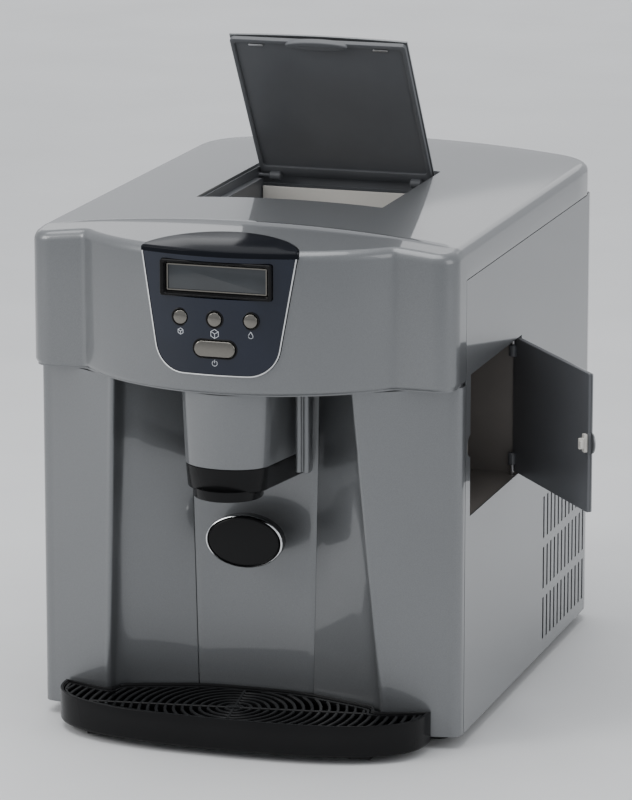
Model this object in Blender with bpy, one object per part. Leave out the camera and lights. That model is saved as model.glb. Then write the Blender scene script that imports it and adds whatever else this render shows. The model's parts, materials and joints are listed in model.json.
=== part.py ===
"""Countertop ice maker with a water and ice dispenser, built as an assembly of separate pieces.

Metres, +Z up, +X to the user's right, +Y towards the rear. The design is laid out about the middle
of the cabinet, with Y = 0 on the face of the front pillars, and then carried by one empty that puts
the origin under the middle of the whole object with its lid and door open.
"""

from math import cos, pi, radians, sin, sqrt

import bmesh
import bpy
from mathutils import Matrix, Vector

# ---- driving dimensions -------------------------------------------------------------------------
HALF_WIDTH = 0.178          # cabinet, from its middle to the outside of a side panel
DEPTH = 0.429               # from the front pillars to the rear panel
UNDERSIDE = 0.010           # height of the base pan over the counter
SEAM_Z = 0.3835             # parting line between the side panels and the top cover
RIM_TOP_Z = 0.4097          # top cover at its side edges
CROWN = 0.012               # rise of the top cover from its side edges to its middle
TOP_ROUND = 0.008           # radius along the top edges
WALL = 0.0025               # moulded covers
SHEET = 0.0012              # steel panels
GAP = 0.0004                # assembly clearance between pieces that touch
PANEL_FRONT_Y = 0.0135      # front edge of the side panels
BASE_FRONT_Y = 0.0300       # front of the base pan, behind the fascia
REAR_CORNER = 0.024         # plan radius of the rear corners

HEAD_BOTTOM_Z = 0.299       # underside of the control head
HEAD_WING_Y = -0.024        # front of the head beside its bulge
HEAD_APEX_Y = -0.081        # front of the bulge in the middle
HEAD_RADIUS = 0.1817        # plan radius of the bulge
HEAD_FILLET = 0.015         # plan radius where the bulge runs into the wings
HEAD_CORNER = 0.010         # plan radius of the head's outer corners
HEAD_DROP = 0.0075          # fall of the head's top from the crease to the front edge
CREASE_Y = 0.006            # where the top starts to fall towards the front

LID_OPENING = (-0.080, 0.108, 0.080, 0.2795)     # x0, y0, x1, y1 in the top cover
LID_HINGE = (0.266, 0.4105)                      # y, z of the lid's hinge axis
LID_REST = radians(56.5)                         # how far open the lid stands
DOOR_OPENING = (0.0275, 0.188, 0.1835, 0.3045)   # y0, z0, y1, z1 in the right side panel
DOOR_HINGE = (0.1735, 0.1775)                    # x, y of the side door's hinge axis
DOOR_REST = radians(38.5)                        # how far open the door stands

BUTTON_Z = 0.3600
BUTTON_SPACING = 0.0290
POWER_Z = 0.3363
DISPLAY_Z = 0.3910
TRAY_HALF_WIDTH = 0.156
TRAY_FRONT_Y = -0.077
TRAY_TOP_Z = 0.0325
TRAY_BOTTOM_Z = 0.0062
NOZZLE_Y = -0.0490          # axis of the ice nozzle
PADDLE_Z = 0.1627
PADDLE_FRONT_Y = -0.0122     # front of the dispense paddle
PADDLE_HINGE = (0.0411, 0.2160)                     # y, z of the paddle's pin
SPOUT_X = 0.0535            # middle of the water spout
FLAP_HINGE = (0.0300, 0.3190)                       # y, z of the chute flap's hub
WATER_TRAY_HINGE = (0.3600, 0.3510)                 # y, z of the freezing tray's shaft
FAN_CENTRE = (0.1234, 0.3300, 0.0750)
AUGER_Z = 0.3000

FRAME_SHIFT = (-0.0456, -0.1774, 0.0)  # puts the origin under the middle of the open object

SEGMENTS = 20               # sides of round pieces


# ---- making and combining meshes ----------------------------------------------------------------
def clear_scene():
    for thing in list(bpy.data.objects):
        bpy.data.objects.remove(thing, do_unlink=True)


def material(name, colour, roughness, metallic=0.0):
    found = bpy.data.materials.get(name)
    if found:
        return found
    made = bpy.data.materials.new(name)
    made.use_nodes = True
    shader = made.node_tree.nodes["Principled BSDF"]
    shader.inputs["Base Color"].default_value = (*colour, 1.0)
    shader.inputs["Roughness"].default_value = roughness
    shader.inputs["Metallic"].default_value = metallic
    return made


COLOURS = {
    "silver_paint": ((0.40, 0.41, 0.42), 0.30, 0.6),
    "charcoal_plastic": ((0.055, 0.057, 0.062), 0.45, 0.0),
    "black_plastic": ((0.02, 0.02, 0.022), 0.45, 0.0),
    "navy_gloss": ((0.02, 0.026, 0.04), 0.15, 0.0),
    "display_glass": ((0.04, 0.045, 0.05), 0.1, 0.0),
    "nickel": ((0.55, 0.52, 0.47), 0.25, 1.0),
    "chrome": ((0.8, 0.8, 0.8), 0.1, 1.0),
    "cream_plastic": ((0.62, 0.60, 0.55), 0.5, 0.0),
    "compartment_plastic": ((0.045, 0.04, 0.036), 0.6, 0.0),
    "steel": ((0.5, 0.5, 0.5), 0.35, 1.0),
    "aluminium": ((0.7, 0.7, 0.72), 0.35, 1.0),
    "copper": ((0.7, 0.35, 0.2), 0.3, 1.0),
    "compressor_black": ((0.015, 0.015, 0.015), 0.35, 0.0),
    "clear_tank": ((0.65, 0.72, 0.75), 0.15, 0.0),
    "circuit_green": ((0.02, 0.12, 0.05), 0.5, 0.0),
    "rubber": ((0.02, 0.02, 0.02), 0.8, 0.0),
    "hose": ((0.6, 0.6, 0.58), 0.4, 0.0),
}


def mesh_object(name, mesh_data, slot=None):
    mesh = bpy.data.meshes.new(name)
    mesh_data.normal_update()
    mesh_data.to_mesh(mesh)
    mesh_data.free()
    made = bpy.data.objects.new(name, mesh)
    bpy.context.collection.objects.link(made)
    if slot:
        mesh.materials.append(material(slot, *COLOURS[slot]))
    return made


def closed(shape):
    bmesh.ops.recalc_face_normals(shape, faces=shape.faces)
    return shape


def loft(rings, name, slot=None):
    """A closed body through rings of equal point counts, with flat caps at both ends."""
    shape = bmesh.new()
    loops = [[shape.verts.new(point) for point in ring] for ring in rings]
    count = len(loops[0])
    for low, high in zip(loops, loops[1:]):
        for i in range(count):
            j = (i + 1) % count
            shape.faces.new((low[i], low[j], high[j], high[i]))
    shape.faces.new(list(reversed(loops[0])))
    shape.faces.new(loops[-1])
    return mesh_object(name, closed(shape), slot)


def prism(name, outline, low, high, slot=None, axis="Z"):
    """An outline drawn across an axis and extruded along it from low to high."""
    place = {
        "Z": lambda a, b, c: (a, b, c),
        "Y": lambda a, b, c: (a, c, b),
        "X": lambda a, b, c: (c, a, b),
    }[axis]
    rings = [[place(a, b, level) for a, b in outline] for level in (low, high)]
    return loft(rings, name, slot)


def box(name, low, high, slot=None):
    outline = [(low[0], low[1]), (high[0], low[1]), (high[0], high[1]), (low[0], high[1])]
    return prism(name, outline, low[2], high[2], slot)


def turned(name, profile, centre, slot=None, axis="Z", sides=SEGMENTS):
    """A solid of revolution: (radius, height) points up its outside, capped at both ends."""
    turn = {
        "Z": Matrix.Identity(3),
        "Y": Matrix.Rotation(radians(-90), 3, "X"),
        "X": Matrix.Rotation(radians(90), 3, "Y"),
    }[axis]
    rings = []
    for radius, height in profile:
        ring = []
        for i in range(sides):
            angle = 2 * pi * i / sides
            point = Vector((radius * cos(angle), radius * sin(angle), height))
            ring.append(Vector(centre) + turn @ point)
        rings.append(ring)
    return loft(rings, name, slot)


def cylinder(name, radius, low, high, centre, slot=None, axis="Z", sides=SEGMENTS):
    return turned(name, [(radius, low), (radius, high)], centre, slot, axis, sides)


def boolean(target, tool, operation):
    change = target.modifiers.new(tool.name, "BOOLEAN")
    change.operation = operation
    change.solver = "EXACT"
    change.object = tool
    tool.hide_render = True
    tool.display_type = "WIRE"
    return target


def cut(target, *tools):
    for tool in tools:
        boolean(target, tool, "DIFFERENCE")
    return target


def join(target, *tools):
    for tool in tools:
        boolean(target, tool, "UNION")
    return target


def rounded_rectangle(x0, y0, x1, y1, radius, steps=3):
    points = []
    corners = ((x1 - radius, y1 - radius, 0), (x0 + radius, y1 - radius, 90),
               (x0 + radius, y0 + radius, 180), (x1 - radius, y0 + radius, 270))
    for cx, cy, start in corners:
        for i in range(steps + 1):
            angle = radians(start + 90 * i / steps)
            points.append((cx + radius * cos(angle), cy + radius * sin(angle)))
    return points


def circle(cx, cy, radius, sides=SEGMENTS, stretch=1.0):
    angles = [2 * pi * i / sides for i in range(sides)]
    return [(cx + radius * stretch * cos(a), cy + radius * sin(a)) for a in angles]


def tray_shape(name, outline, floor, rim, wall, slot):
    """An open box over an outline: side walls and a floor of one thickness."""
    inner = inset(outline, wall)
    rings = [[(x, y, floor) for x, y in outline], [(x, y, rim) for x, y in outline],
             [(x, y, rim) for x, y in inner], [(x, y, floor + wall) for x, y in inner]]
    return loft(rings, name, slot)


def inset(outline, distance):
    """The outline moved inwards along its own normals."""
    count = len(outline)
    area = sum(outline[i][0] * outline[(i + 1) % count][1]
               - outline[(i + 1) % count][0] * outline[i][1] for i in range(count))
    side = 1 if area > 0 else -1
    moved = []
    for i, here in enumerate(outline):
        before = Vector(outline[i - 1])
        after = Vector(outline[(i + 1) % count])
        a = (Vector(here) - before).normalized()
        b = (after - Vector(here)).normalized()
        normal = Vector((-a.y - b.y, a.x + b.x)) * side
        normal.normalize()
        spread = max(0.35, normal.dot(Vector((-a.y, a.x)) * side))
        point = Vector(here) + normal * distance / spread
        moved.append((point.x, point.y))
    return moved


def tube(name, points, radius, slot, sides=10):
    """A round tube along a smooth path through the points, closed at both ends."""
    path = smooth_path([Vector(p) for p in points], 4)
    rings = []
    side = Vector((1, 0, 0)) if abs((path[1] - path[0]).normalized().x) < 0.9 else Vector((0, 1, 0))
    for i, here in enumerate(path):
        ahead = path[min(i + 1, len(path) - 1)] - path[max(i - 1, 0)]
        ahead.normalize()
        side = (side - ahead * side.dot(ahead)).normalized()
        up = ahead.cross(side)
        rings.append([here + (side * cos(2 * pi * k / sides) + up * sin(2 * pi * k / sides)) * radius
                      for k in range(sides)])
    return loft(rings, name, slot)


def smooth_path(points, steps):
    """Catmull-Rom curve through the points."""
    ends = [points[0] * 2 - points[1]] + points + [points[-1] * 2 - points[-2]]
    path = []
    for i in range(1, len(ends) - 2):
        p0, p1, p2, p3 = ends[i - 1:i + 3]
        for k in range(steps):
            t = k / steps
            path.append(0.5 * (2 * p1 + (p2 - p0) * t + (2 * p0 - 5 * p1 + 4 * p2 - p3) * t * t
                               + (3 * p1 - p0 - 3 * p2 + p3) * t ** 3))
    return path + [points[-1]]


def pivot(name, location, rotation=(0.0, 0.0, 0.0)):
    empty = bpy.data.objects.new(name, None)
    bpy.context.collection.objects.link(empty)
    empty.location = location
    empty.rotation_euler = rotation
    return empty


def with_tools(piece):
    """A piece and every object its modifiers use."""
    found = [piece]
    for change in piece.modifiers:
        found += with_tools(change.object)
    return found


def hang(axis, place, rotation, *pieces):
    """Parents pieces drawn in cabinet coordinates to an empty on their joint's axis."""
    parent = pivot(axis, place, rotation)
    for piece in pieces:
        for thing in with_tools(bpy.data.objects[piece]):
            thing.parent = parent
            thing.location = Vector(thing.location) - Vector(place)


# ---- outlines shared by the covers --------------------------------------------------------------
def bulge_y(x, inward=0.0):
    """Front face of the control head at x, or a face a little inside it."""
    radius = HEAD_RADIUS - inward
    fillet = HEAD_FILLET + inward
    wing = HEAD_WING_Y + inward
    centre_y = HEAD_APEX_Y + HEAD_RADIUS
    reach = sqrt((radius + fillet) ** 2 - (centre_y - wing + fillet) ** 2)
    x = abs(x)
    if x >= reach:
        return wing
    if x >= reach * radius / (radius + fillet):
        return wing - fillet + sqrt(fillet ** 2 - (reach - x) ** 2)
    return centre_y - sqrt(radius ** 2 - x ** 2)


def cover_front_y(x, inward=0.0):
    """Front edge of the top cover's plan outline, with its rounded outer corners."""
    half = HALF_WIDTH - inward
    radius = HEAD_CORNER - inward
    start = half - radius
    y = bulge_y(x, inward)
    if abs(x) > start:
        y += radius - sqrt(max(0.0, radius ** 2 - (abs(x) - start) ** 2))
    return y


def cover_rear_y(x, inward=0.0):
    half = HALF_WIDTH - inward
    radius = REAR_CORNER - inward
    y = DEPTH - inward
    start = half - radius
    if abs(x) > start:
        y -= radius - sqrt(max(0.0, radius ** 2 - (abs(x) - start) ** 2))
    return y


def cover_top_z(x, y):
    """Height of the crowned top, which falls away in front of its crease."""
    z = RIM_TOP_Z + CROWN * (1 - (x / HALF_WIDTH) ** 2)
    if y < CREASE_Y:
        z -= HEAD_DROP * (CREASE_Y - y) / (CREASE_Y - HEAD_APEX_Y)
    return z


def cover_skin(inward, drop, bottom_front, bottom_rear):
    """Cap grid, rounded edge and skirt of the top cover, moved inwards by one distance.

    Returns the rings from the skirt's lower edge to the edge of the cap, and the cap's columns.
    """
    half = HALF_WIDTH - inward
    rounding = TOP_ROUND - drop
    arc = [radians(a) for a in (90, 67.5, 45, 22.5, 0)]
    cap_half = half - rounding
    fractions = [-1, -0.985, -0.95, -0.9, -0.84, -0.775, -0.74, -0.705, -0.62, -0.54, -0.42, -0.28, -0.14, 0]
    fractions += [-f for f in reversed(fractions[:-1])]
    columns = []
    for f in fractions:
        x = f * cap_half
        front = cover_front_y(f * half, inward) + rounding
        rear = cover_rear_y(f * half, inward) - rounding
        stations = [front, (front + CREASE_Y) / 2, CREASE_Y, PANEL_FRONT_Y, PANEL_FRONT_Y + 0.0004]
        stations += [PANEL_FRONT_Y + (rear - PANEL_FRONT_Y) * t for t in (0.25, 0.5, 0.75, 1.0)]
        columns.append([(x, y) for y in stations])
    edge = [c[0] for c in columns] + columns[-1][1:-1]
    edge += [c[-1] for c in reversed(columns)] + list(reversed(columns[0][1:-1]))
    normals = []
    for i, here in enumerate(edge):
        along = Vector(edge[(i + 1) % len(edge)]) - Vector(edge[i - 1])
        normals.append(Vector((along.y, -along.x)).normalized())
    rings = []
    for y_step in (0, 1):
        ring = []
        for (x, y), n in zip(edge, normals):
            px, py = x + n.x * rounding, y + n.y * rounding
            top = cover_top_z(x, y) - drop - rounding
            low = bottom_front if y <= PANEL_FRONT_Y + 0.0002 else bottom_rear
            ring.append((px, py, low if y_step == 0 else top))
        rings.append(ring)
    for a in arc[1:]:
        ring = []
        for (x, y), n in zip(edge, normals):
            out = rounding * sin(a)
            z = cover_top_z(x, y) - drop - rounding * (1 - cos(a))
            ring.append((x + n.x * out, y + n.y * out, z))
        rings.append(ring)
    return rings, [[(x, y, cover_top_z(x, y) - drop) for x, y in c] for c in columns]


def add_skin(shape, rings, columns, flip):
    """Builds the skirt, rounding and cap faces, and returns the lower loop of vertices."""
    loops = [[shape.verts.new(p) for p in ring] for ring in rings]
    rows = len(columns[0])
    grid = [[None] * rows for _ in columns]
    edge = loops[-1]
    last = len(columns) - 1
    order = [(i, 0) for i in range(last + 1)] + [(last, j) for j in range(1, rows - 1)]
    order += [(i, rows - 1) for i in range(last, -1, -1)] + [(0, j) for j in range(rows - 2, 0, -1)]
    for (i, j), vert in zip(order, edge):
        grid[i][j] = vert
    for i, column in enumerate(columns):
        for j, point in enumerate(column):
            if grid[i][j] is None:
                grid[i][j] = shape.verts.new(point)
    faces = []
    for low, high in zip(loops, loops[1:]):
        for i in range(len(low)):
            j = (i + 1) % len(low)
            faces.append((low[i], low[j], high[j], high[i]))
    for i in range(last):
        for j in range(rows - 1):
            faces.append((grid[i][j], grid[i + 1][j], grid[i + 1][j + 1], grid[i][j + 1]))
    for face in faces:
        shape.faces.new(tuple(reversed(face)) if flip else face)
    return loops[0]


def cover_shell():
    shape = bmesh.new()
    outer = add_skin(shape, *cover_skin(0.0, 0.0, HEAD_BOTTOM_Z, SEAM_Z), flip=False)
    inner = add_skin(shape, *cover_skin(WALL, WALL, HEAD_BOTTOM_Z, SEAM_Z), flip=True)
    for i in range(len(outer)):
        j = (i + 1) % len(outer)
        shape.faces.new((outer[j], outer[i], inner[i], inner[j]))
    return mesh_object("top_cover", closed(shape), "silver_paint")


def panel_outline(grow=0.0, top_z=0.4100):
    """Trapezoid of the control panel seen from the front, with large lower corners."""
    low_z = 0.3148 - grow
    low_half = 0.0485 + grow
    slope = 0.166
    top_half = low_half + slope * (top_z - low_z)
    radius = 0.0255 + grow
    points = [(top_half, top_z)]
    for i in range(6):
        angle = radians(-90 * i / 5) - slope * (1 - i / 5)
        points.append((low_half + 0.0036 - radius + radius * cos(angle),
                       low_z + radius + radius * sin(angle)))
    return points + [(-x, z) for x, z in reversed(points)]


def arc_shell(name, out, deep, half, low, high, slot=None):
    """A curved slab that follows the face of the head's bulge, between two depths."""
    steps = 16
    xs = [half * (2 * i / steps - 1) for i in range(steps + 1)]
    outline = [(x, bulge_y(x) - out) for x in xs] + [(x, bulge_y(x) + deep) for x in reversed(xs)]
    return prism(name, outline, low, high, slot)


# ---- base, feet and covers ----------------------------------------------------------------------
FEET = [("front_left", -0.150, 0.036), ("front_right", 0.150, 0.036),
        ("rear_left", -0.150, 0.395), ("rear_right", 0.150, 0.395)]


def make_base():
    outline = rounded_rectangle(-HALF_WIDTH + SHEET + GAP, BASE_FRONT_Y,
                                HALF_WIDTH - SHEET - GAP, DEPTH - SHEET - GAP, 0.0235)
    pan = tray_shape("base_pan", outline, UNDERSIDE, 0.026, 0.003, "black_plastic")
    for name, x, y in FEET:
        cut(pan, cylinder("foot_hole_" + name, 0.0034, 0.005, 0.020, (x, y, 0)))
        profile = [(0.011, 0.0), (0.013, 0.002), (0.0125, UNDERSIDE - GAP), (0.003, UNDERSIDE - GAP),
                   (0.003, 0.016)]
        turned("foot_" + name, profile, (x, y, 0), "rubber", sides=16)
    join(pan, box("tray_shelf", (-0.120, -0.055, 0.0030), (0.120, 0.052, 0.0054)),
         box("shelf_step", (-0.120, 0.030, 0.0050), (0.120, 0.052, UNDERSIDE + 0.0005)))


def fascia_outline(t):
    """Plan of the front fascia at a height: t is 0 at its foot and 1 under the control head."""
    ridge_x = 0.1180 + (0.1005 - 0.1180) * t
    ridge_y = -0.0100 + (-0.0415 + 0.0100) * t
    step = 0.0100 + 0.0080 * t
    seam_x = 0.0490 + 0.0065 * t
    seam_y = 0.0195 - 0.002 * t
    corner = 0.009
    outer = []
    for i in range(5):
        a = radians(90 * i / 4)
        outer.append((HALF_WIDTH - corner + corner * cos(a), corner - corner * sin(a)))
    start, end = Vector(outer[-1]), Vector((ridge_x + 0.0045, ridge_y * 0.94 + 0.0002))
    face = [tuple(start.lerp(end, s)) for s in (0.2, 0.4, 0.5, 0.6, 0.7, 0.8, 0.9)]
    ridge = [tuple(end), (ridge_x + 0.0012, ridge_y),
             (ridge_x - 0.0014, ridge_y + 0.0012), (ridge_x - 0.0023, ridge_y + 0.0045)]
    valley_x, valley_y = ridge_x - 0.0040, ridge_y + step
    flank = [(valley_x + 0.0003, valley_y - 0.0022)]
    for i in range(1, 6):
        s = (i - 0.6) / 4.4
        flank.append((valley_x + (seam_x - valley_x) * s, valley_y + (seam_y - valley_y) * s))
    return [(HALF_WIDTH, PANEL_FRONT_Y - GAP)] + outer + face + ridge + flank


def offset_path(points, distance):
    """An open line moved to its inner side, with mitred corners."""
    moved = []
    for i, here in enumerate(points):
        before = Vector(here) - Vector(points[max(i - 1, 0)])
        after = Vector(points[min(i + 1, len(points) - 1)]) - Vector(here)
        before = (before if i else after).normalized()
        after = (after if i < len(points) - 1 else before).normalized()
        normal = Vector((before.y + after.y, -before.x - after.x)).normalized()
        spread = max(0.5, normal.dot(Vector((before.y, -before.x))))
        point = Vector(here) + normal * distance / spread
        moved.append((point.x, point.y))
    return moved


FASCIA_TOP = 0.3120
FASCIA_LEVELS = (UNDERSIDE + 0.0004, HEAD_BOTTOM_Z - 0.0006, HEAD_BOTTOM_Z - 0.0003, FASCIA_TOP)


def fascia_taper(z):
    """0 at the foot of the fascia and 1 where it passes under the control head."""
    return min(1.0, (z - UNDERSIDE) / (HEAD_BOTTOM_Z - UNDERSIDE))


def make_fascia():
    for side, name in ((1, "right"), (-1, "left")):
        rings = []
        for z in FASCIA_LEVELS:
            front = fascia_outline(fascia_taper(z))
            if z > FASCIA_LEVELS[1]:
                front = [(min(x, HALF_WIDTH - WALL - GAP), max(y, cover_front_y(x, 0.0090)))
                         for x, y in front]
            back = [(min(x, HALF_WIDTH - 0.004), y if i > 5 else max(y, 0.0030))
                    for i, (x, y) in enumerate(offset_path(front, WALL))]
            back[0] = (HALF_WIDTH - 0.004, PANEL_FRONT_Y - GAP)
            rings.append([(side * x, y, z) for x, y in front + list(reversed(back))])
        loft(rings, "pillar_" + name, "silver_paint")


def make_dispense_panel():
    rings = []
    for z in FASCIA_LEVELS:
        t = fascia_taper(z)
        seam_x = 0.0490 + 0.0065 * t - GAP
        seam_y = 0.0195 - 0.002 * t
        xs = [seam_x * (1 - i / 4) for i in range(9)]
        front = [(x, seam_y + 0.0035 * (1 - (x / seam_x) ** 2), z) for x in xs]
        rings.append(front + [(x, y + 0.0025, z) for x, y, z in reversed(front)])
    panel = loft(rings, "dispense_panel", "silver_paint")
    paddle_window = prism("paddle_window", circle(0, PADDLE_Z, 0.014, 16), 0.0, 0.05, axis="Y")
    chute_window = prism("chute_window", rounded_rectangle(-0.030, 0.238, 0.030, 0.340, 0.006),
                         0.0, 0.05, axis="Y")
    cut(panel, paddle_window, chute_window)


def make_top_cover():
    cover = cover_shell()
    x0, y0, x1, y1 = LID_OPENING
    cut(cover, box("lid_cut", (x0, y0, 0.36), (x1, y1, 0.44)))
    window = prism("panel_window", panel_outline(GAP, 0.4110), -0.12, -0.03, axis="Y")
    visor_hole = prism("visor_hole", visor_plan(GAP, 0.03), 0.4090, 0.43)
    cut(cover, window, visor_hole)


def make_side_panels():
    y0, z0, y1, z1 = DOOR_OPENING
    low, high = UNDERSIDE + 0.0003, SEAM_Z - GAP
    for side, name in ((1, "right"), (-1, "left")):
        outline = [(HALF_WIDTH, PANEL_FRONT_Y + 2 * GAP)]
        for i in range(6):
            a = radians(90 * i / 5)
            outline.append((HALF_WIDTH - REAR_CORNER + REAR_CORNER * cos(a),
                            DEPTH - REAR_CORNER + REAR_CORNER * sin(a)))
        outline.append((HALF_WIDTH - 0.036, DEPTH))
        inner = [(HALF_WIDTH - 0.036, DEPTH - SHEET)]
        for i in range(6):
            a = radians(90 - 90 * i / 5)
            radius = REAR_CORNER - SHEET
            inner.append((HALF_WIDTH - REAR_CORNER + radius * cos(a),
                          DEPTH - REAR_CORNER + radius * sin(a)))
        inner.append((HALF_WIDTH - SHEET, PANEL_FRONT_Y + 2 * GAP))
        panel = prism("side_panel_" + name, [(side * x, y) for x, y in outline + inner],
                      low, high, "silver_paint")
        for row in range(3):
            for i in range(12):
                y = 0.2600 + 0.0122 * i
                z = 0.0220 + 0.0445 * row
                slot = box(f"louvre_{name}_{row}_{i}", (side * HALF_WIDTH - 0.005, y, z),
                           (side * HALF_WIDTH + 0.005, y + 0.0045, z + 0.0365))
                cut(panel, slot)
        if side > 0:
            cut(panel, box("door_cut", (0.16, y0, z0), (0.20, y1, z1)))
            bump = prism("door_notch", circle(y0, (z0 + z1) / 2, 0.009, 16), 0.17, 0.19, axis="X")
            cut(panel, bump)


def make_rear_panel():
    half = HALF_WIDTH - 0.036 - GAP
    panel = box("rear_panel", (-half, DEPTH - SHEET, UNDERSIDE + 0.0003),
                (half, DEPTH, SEAM_Z - GAP), "silver_paint")
    for i in range(9):
        z = 0.210 + 0.012 * i
        cut(panel, box(f"rear_vent_{i}", (-0.070, DEPTH - 0.01, z), (0.070, DEPTH + 0.01, z + 0.005)))
    cut(panel, box("inlet_cut", (0.0846, DEPTH - 0.01, 0.0396), (0.1154, DEPTH + 0.01, 0.0644)))
    flange = box("power_inlet", (0.080, DEPTH + GAP, 0.035), (0.120, DEPTH + 0.003, 0.069),
                 "black_plastic")
    join(flange, box("inlet_body", (0.085, DEPTH - 0.022, 0.040), (0.115, DEPTH + 0.002, 0.064)))
    cut(flange, box("inlet_well", (0.088, DEPTH - 0.016, 0.043), (0.112, DEPTH + 0.01, 0.061)))
    for i, x in enumerate((0.094, 0.100, 0.106)):
        join(flange, box(f"inlet_blade_{i}", (x - 0.001, DEPTH - 0.018, 0.048 + 0.004 * (i % 2)),
                         (x + 0.001, DEPTH - 0.004, 0.053 + 0.004 * (i % 2))))
    sleeve = turned("drain_outlet", [(0.0090, -0.020), (0.0090, -0.0006), (0.012, -0.0006),
                                     (0.012, 0.0030)], (-0.105, DEPTH, 0.045), axis="Y")
    join(panel, sleeve)
    cut(panel, cylinder("drain_bore", 0.0060, -0.03, 0.01, (-0.105, DEPTH, 0.045), axis="Y"))
    turned("drain_plug", [(0.0052, -0.012), (0.0055, 0.0034), (0.010, 0.0034), (0.010, 0.0090)],
           (-0.105, DEPTH, 0.045), "rubber", "Y")


# ---- lid ----------------------------------------------------------------------------------------
def make_lid_frame():
    x0, y0, x1, y1 = LID_OPENING
    x0, y0, x1, y1 = x0 + GAP, y0 + GAP, x1 - GAP, y1 - GAP
    frame = box("lid_frame", (x0, y0, 0.3790), (x1, y1, 0.4170), "charcoal_plastic")
    cut(frame, box("frame_upper_well", (x0 + 0.0016, y0 + 0.0016, 0.4095),
                   (x1 - 0.0016, y1 - 0.0016, 0.43)))
    cut(frame, box("frame_lower_well", (x0 + 0.0085, y0 + 0.0085, 0.37),
                   (x1 - 0.0085, 0.2560, 0.43)))
    cut(frame, box("frame_hinge_well", (x0 + 0.0026, 0.2560, 0.4020),
                   (x1 - 0.0026, y1 - 0.0016, 0.43)))
    y, z = LID_HINGE
    cut(frame, cylinder("pintle_seats", 0.0021, -0.0788, 0.0788, (0, y, z), axis="X", sides=16))


def make_lid():
    y, z = LID_HINGE
    half = 0.0772
    front = 0.1116
    rear = y + 0.0018
    skin_rings = []
    for yy in (front, rear):
        xs = [half * (i / 5 - 1) for i in range(11)]
        top = [(x, yy, 0.4190 + 0.0022 * (1 - (x / half) ** 2)) for x in xs]
        skin_rings.append(top + [(x, yy, zz - 0.0020) for x, yy, zz in reversed(top)])
    skin = loft(skin_rings, "lid_skin", "silver_paint")
    liner = box("lid_liner", (-half + 0.001, front + 0.001, 0.4126), (half - 0.001, rear, 0.4166),
                "charcoal_plastic")
    cut(liner, box("liner_recess", (-half + 0.004, front + 0.0045, 0.40),
                   (half - 0.004, rear - 0.012, 0.4146)))
    thumb = [(-0.034, front + 0.0012), (-0.022, front + 0.0085), (0.0, front + 0.0115),
             (0.022, front + 0.0085), (0.034, front + 0.0012)]
    join(liner, prism("lid_thumb_tab", thumb, 0.4108, 0.4150))
    for name, low, high in (("left", -0.0675, -0.0575), ("right", 0.0575, 0.0675)):
        join(liner, cylinder("lid_ear_" + name, 0.0040, low, high, (0, y, z), axis="X", sides=16))
    for name, low, high in (("left", -0.0785, -0.0600), ("right", 0.0600, 0.0785)):
        join(liner, cylinder("lid_pintle_" + name, 0.0019, low, high, (0, y, z), axis="X", sides=16))


# ---- side door ----------------------------------------------------------------------------------
def make_side_door():
    x, y = DOOR_HINGE
    y0, z0, y1, z1 = DOOR_OPENING
    front, rear = y0 + 0.0015, y1 - 0.0030
    low, high = z0 + 0.0012, z1 - 0.0012
    middle = (z0 + z1) / 2
    skin = box("door_skin", (HALF_WIDTH - 0.0014, front, low), (HALF_WIDTH, rear, high), "silver_paint")
    liner = box("door_liner", (HALF_WIDTH - 0.0042, front, low),
                (HALF_WIDTH - 0.0018, rear, high), "charcoal_plastic")
    latch = box("door_latch", (HALF_WIDTH - 0.0110, front + 0.0010, middle - 0.0065),
                (HALF_WIDTH - 0.0046, front + 0.0085, middle + 0.0065), "cream_plastic")
    join(latch, box("latch_nose", (HALF_WIDTH - 0.0110, front - 0.0012, middle - 0.003),
                    (HALF_WIDTH - 0.0085, front + 0.0030, middle + 0.003)))
    for name, a, b in (("lower", low + 0.006, low + 0.016), ("upper", high - 0.016, high - 0.006)):
        knuckle = cylinder("door_knuckle_" + name, 0.0038, a, b, (x - 0.0010, y, 0), sides=16)
        join(liner, knuckle)
        cut(liner, cylinder("door_hole_" + name, 0.0019, a - 0.009, b + 0.009, (x - 0.0010, y, 0),
                            sides=16))
        start = low - 0.004 if name == "lower" else high - 0.015
        cylinder("door_hinge_pin_" + name, 0.0016, start, start + 0.0190, (x - 0.0010, y, 0),
                 "steel", sides=16)


def make_compartment():
    y0, z0, y1, z1 = DOOR_OPENING
    outer_low, outer_high = (0.1080, y0 - 0.004, z0 - 0.010), (HALF_WIDTH - SHEET - GAP, y1 + 0.004, z1 + 0.010)
    liner = box("door_compartment", outer_low, outer_high, "compartment_plastic")
    cut(liner, box("compartment_hollow", (0.1104, y0 - 0.0015, z0 - 0.0015),
                   (0.20, y1 + 0.0015, z1 + 0.0015)))
    for name, low, high in (("lower", z0 - 0.0080, z0 - 0.001), ("upper", z1 + 0.001, z1 + 0.0080)):
        hole = cylinder("pin_seat_" + name, 0.0019, low, high,
                        (DOOR_HINGE[0] - 0.0010, DOOR_HINGE[1], 0), sides=16)
        cut(liner, hole)
    for name, z in (("lower", z0 + 0.022), ("upper", z1 - 0.022)):
        join(liner, turned("compartment_screw_" + name,
                           [(0.0032, -0.0004), (0.0032, 0.0014), (0.0018, 0.0022)],
                           (0.1104, y1 - 0.030, z), axis="X", sides=12))


def visor_plan(grow=0.0, overhang=0.0):
    """Lens-shaped outline on the top of the head: its front follows the bulge."""
    half, depth = 0.0648 + grow, 0.0455 + 2 * grow
    corner_y = bulge_y(0.0648) - 0.0006 - grow
    front = [half * (i / 6 - 1) for i in range(13)]
    ends = 0 if overhang else 1
    rear = [half * cos(pi * i / 12) for i in range(ends, 13 - ends)]
    points = [(x, bulge_y(x) - 0.0006 - overhang) for x in front]
    return points + [(x, corner_y + depth * max(0.0, 1 - (x / half) ** 2) ** 0.58) for x in rear]


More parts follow.
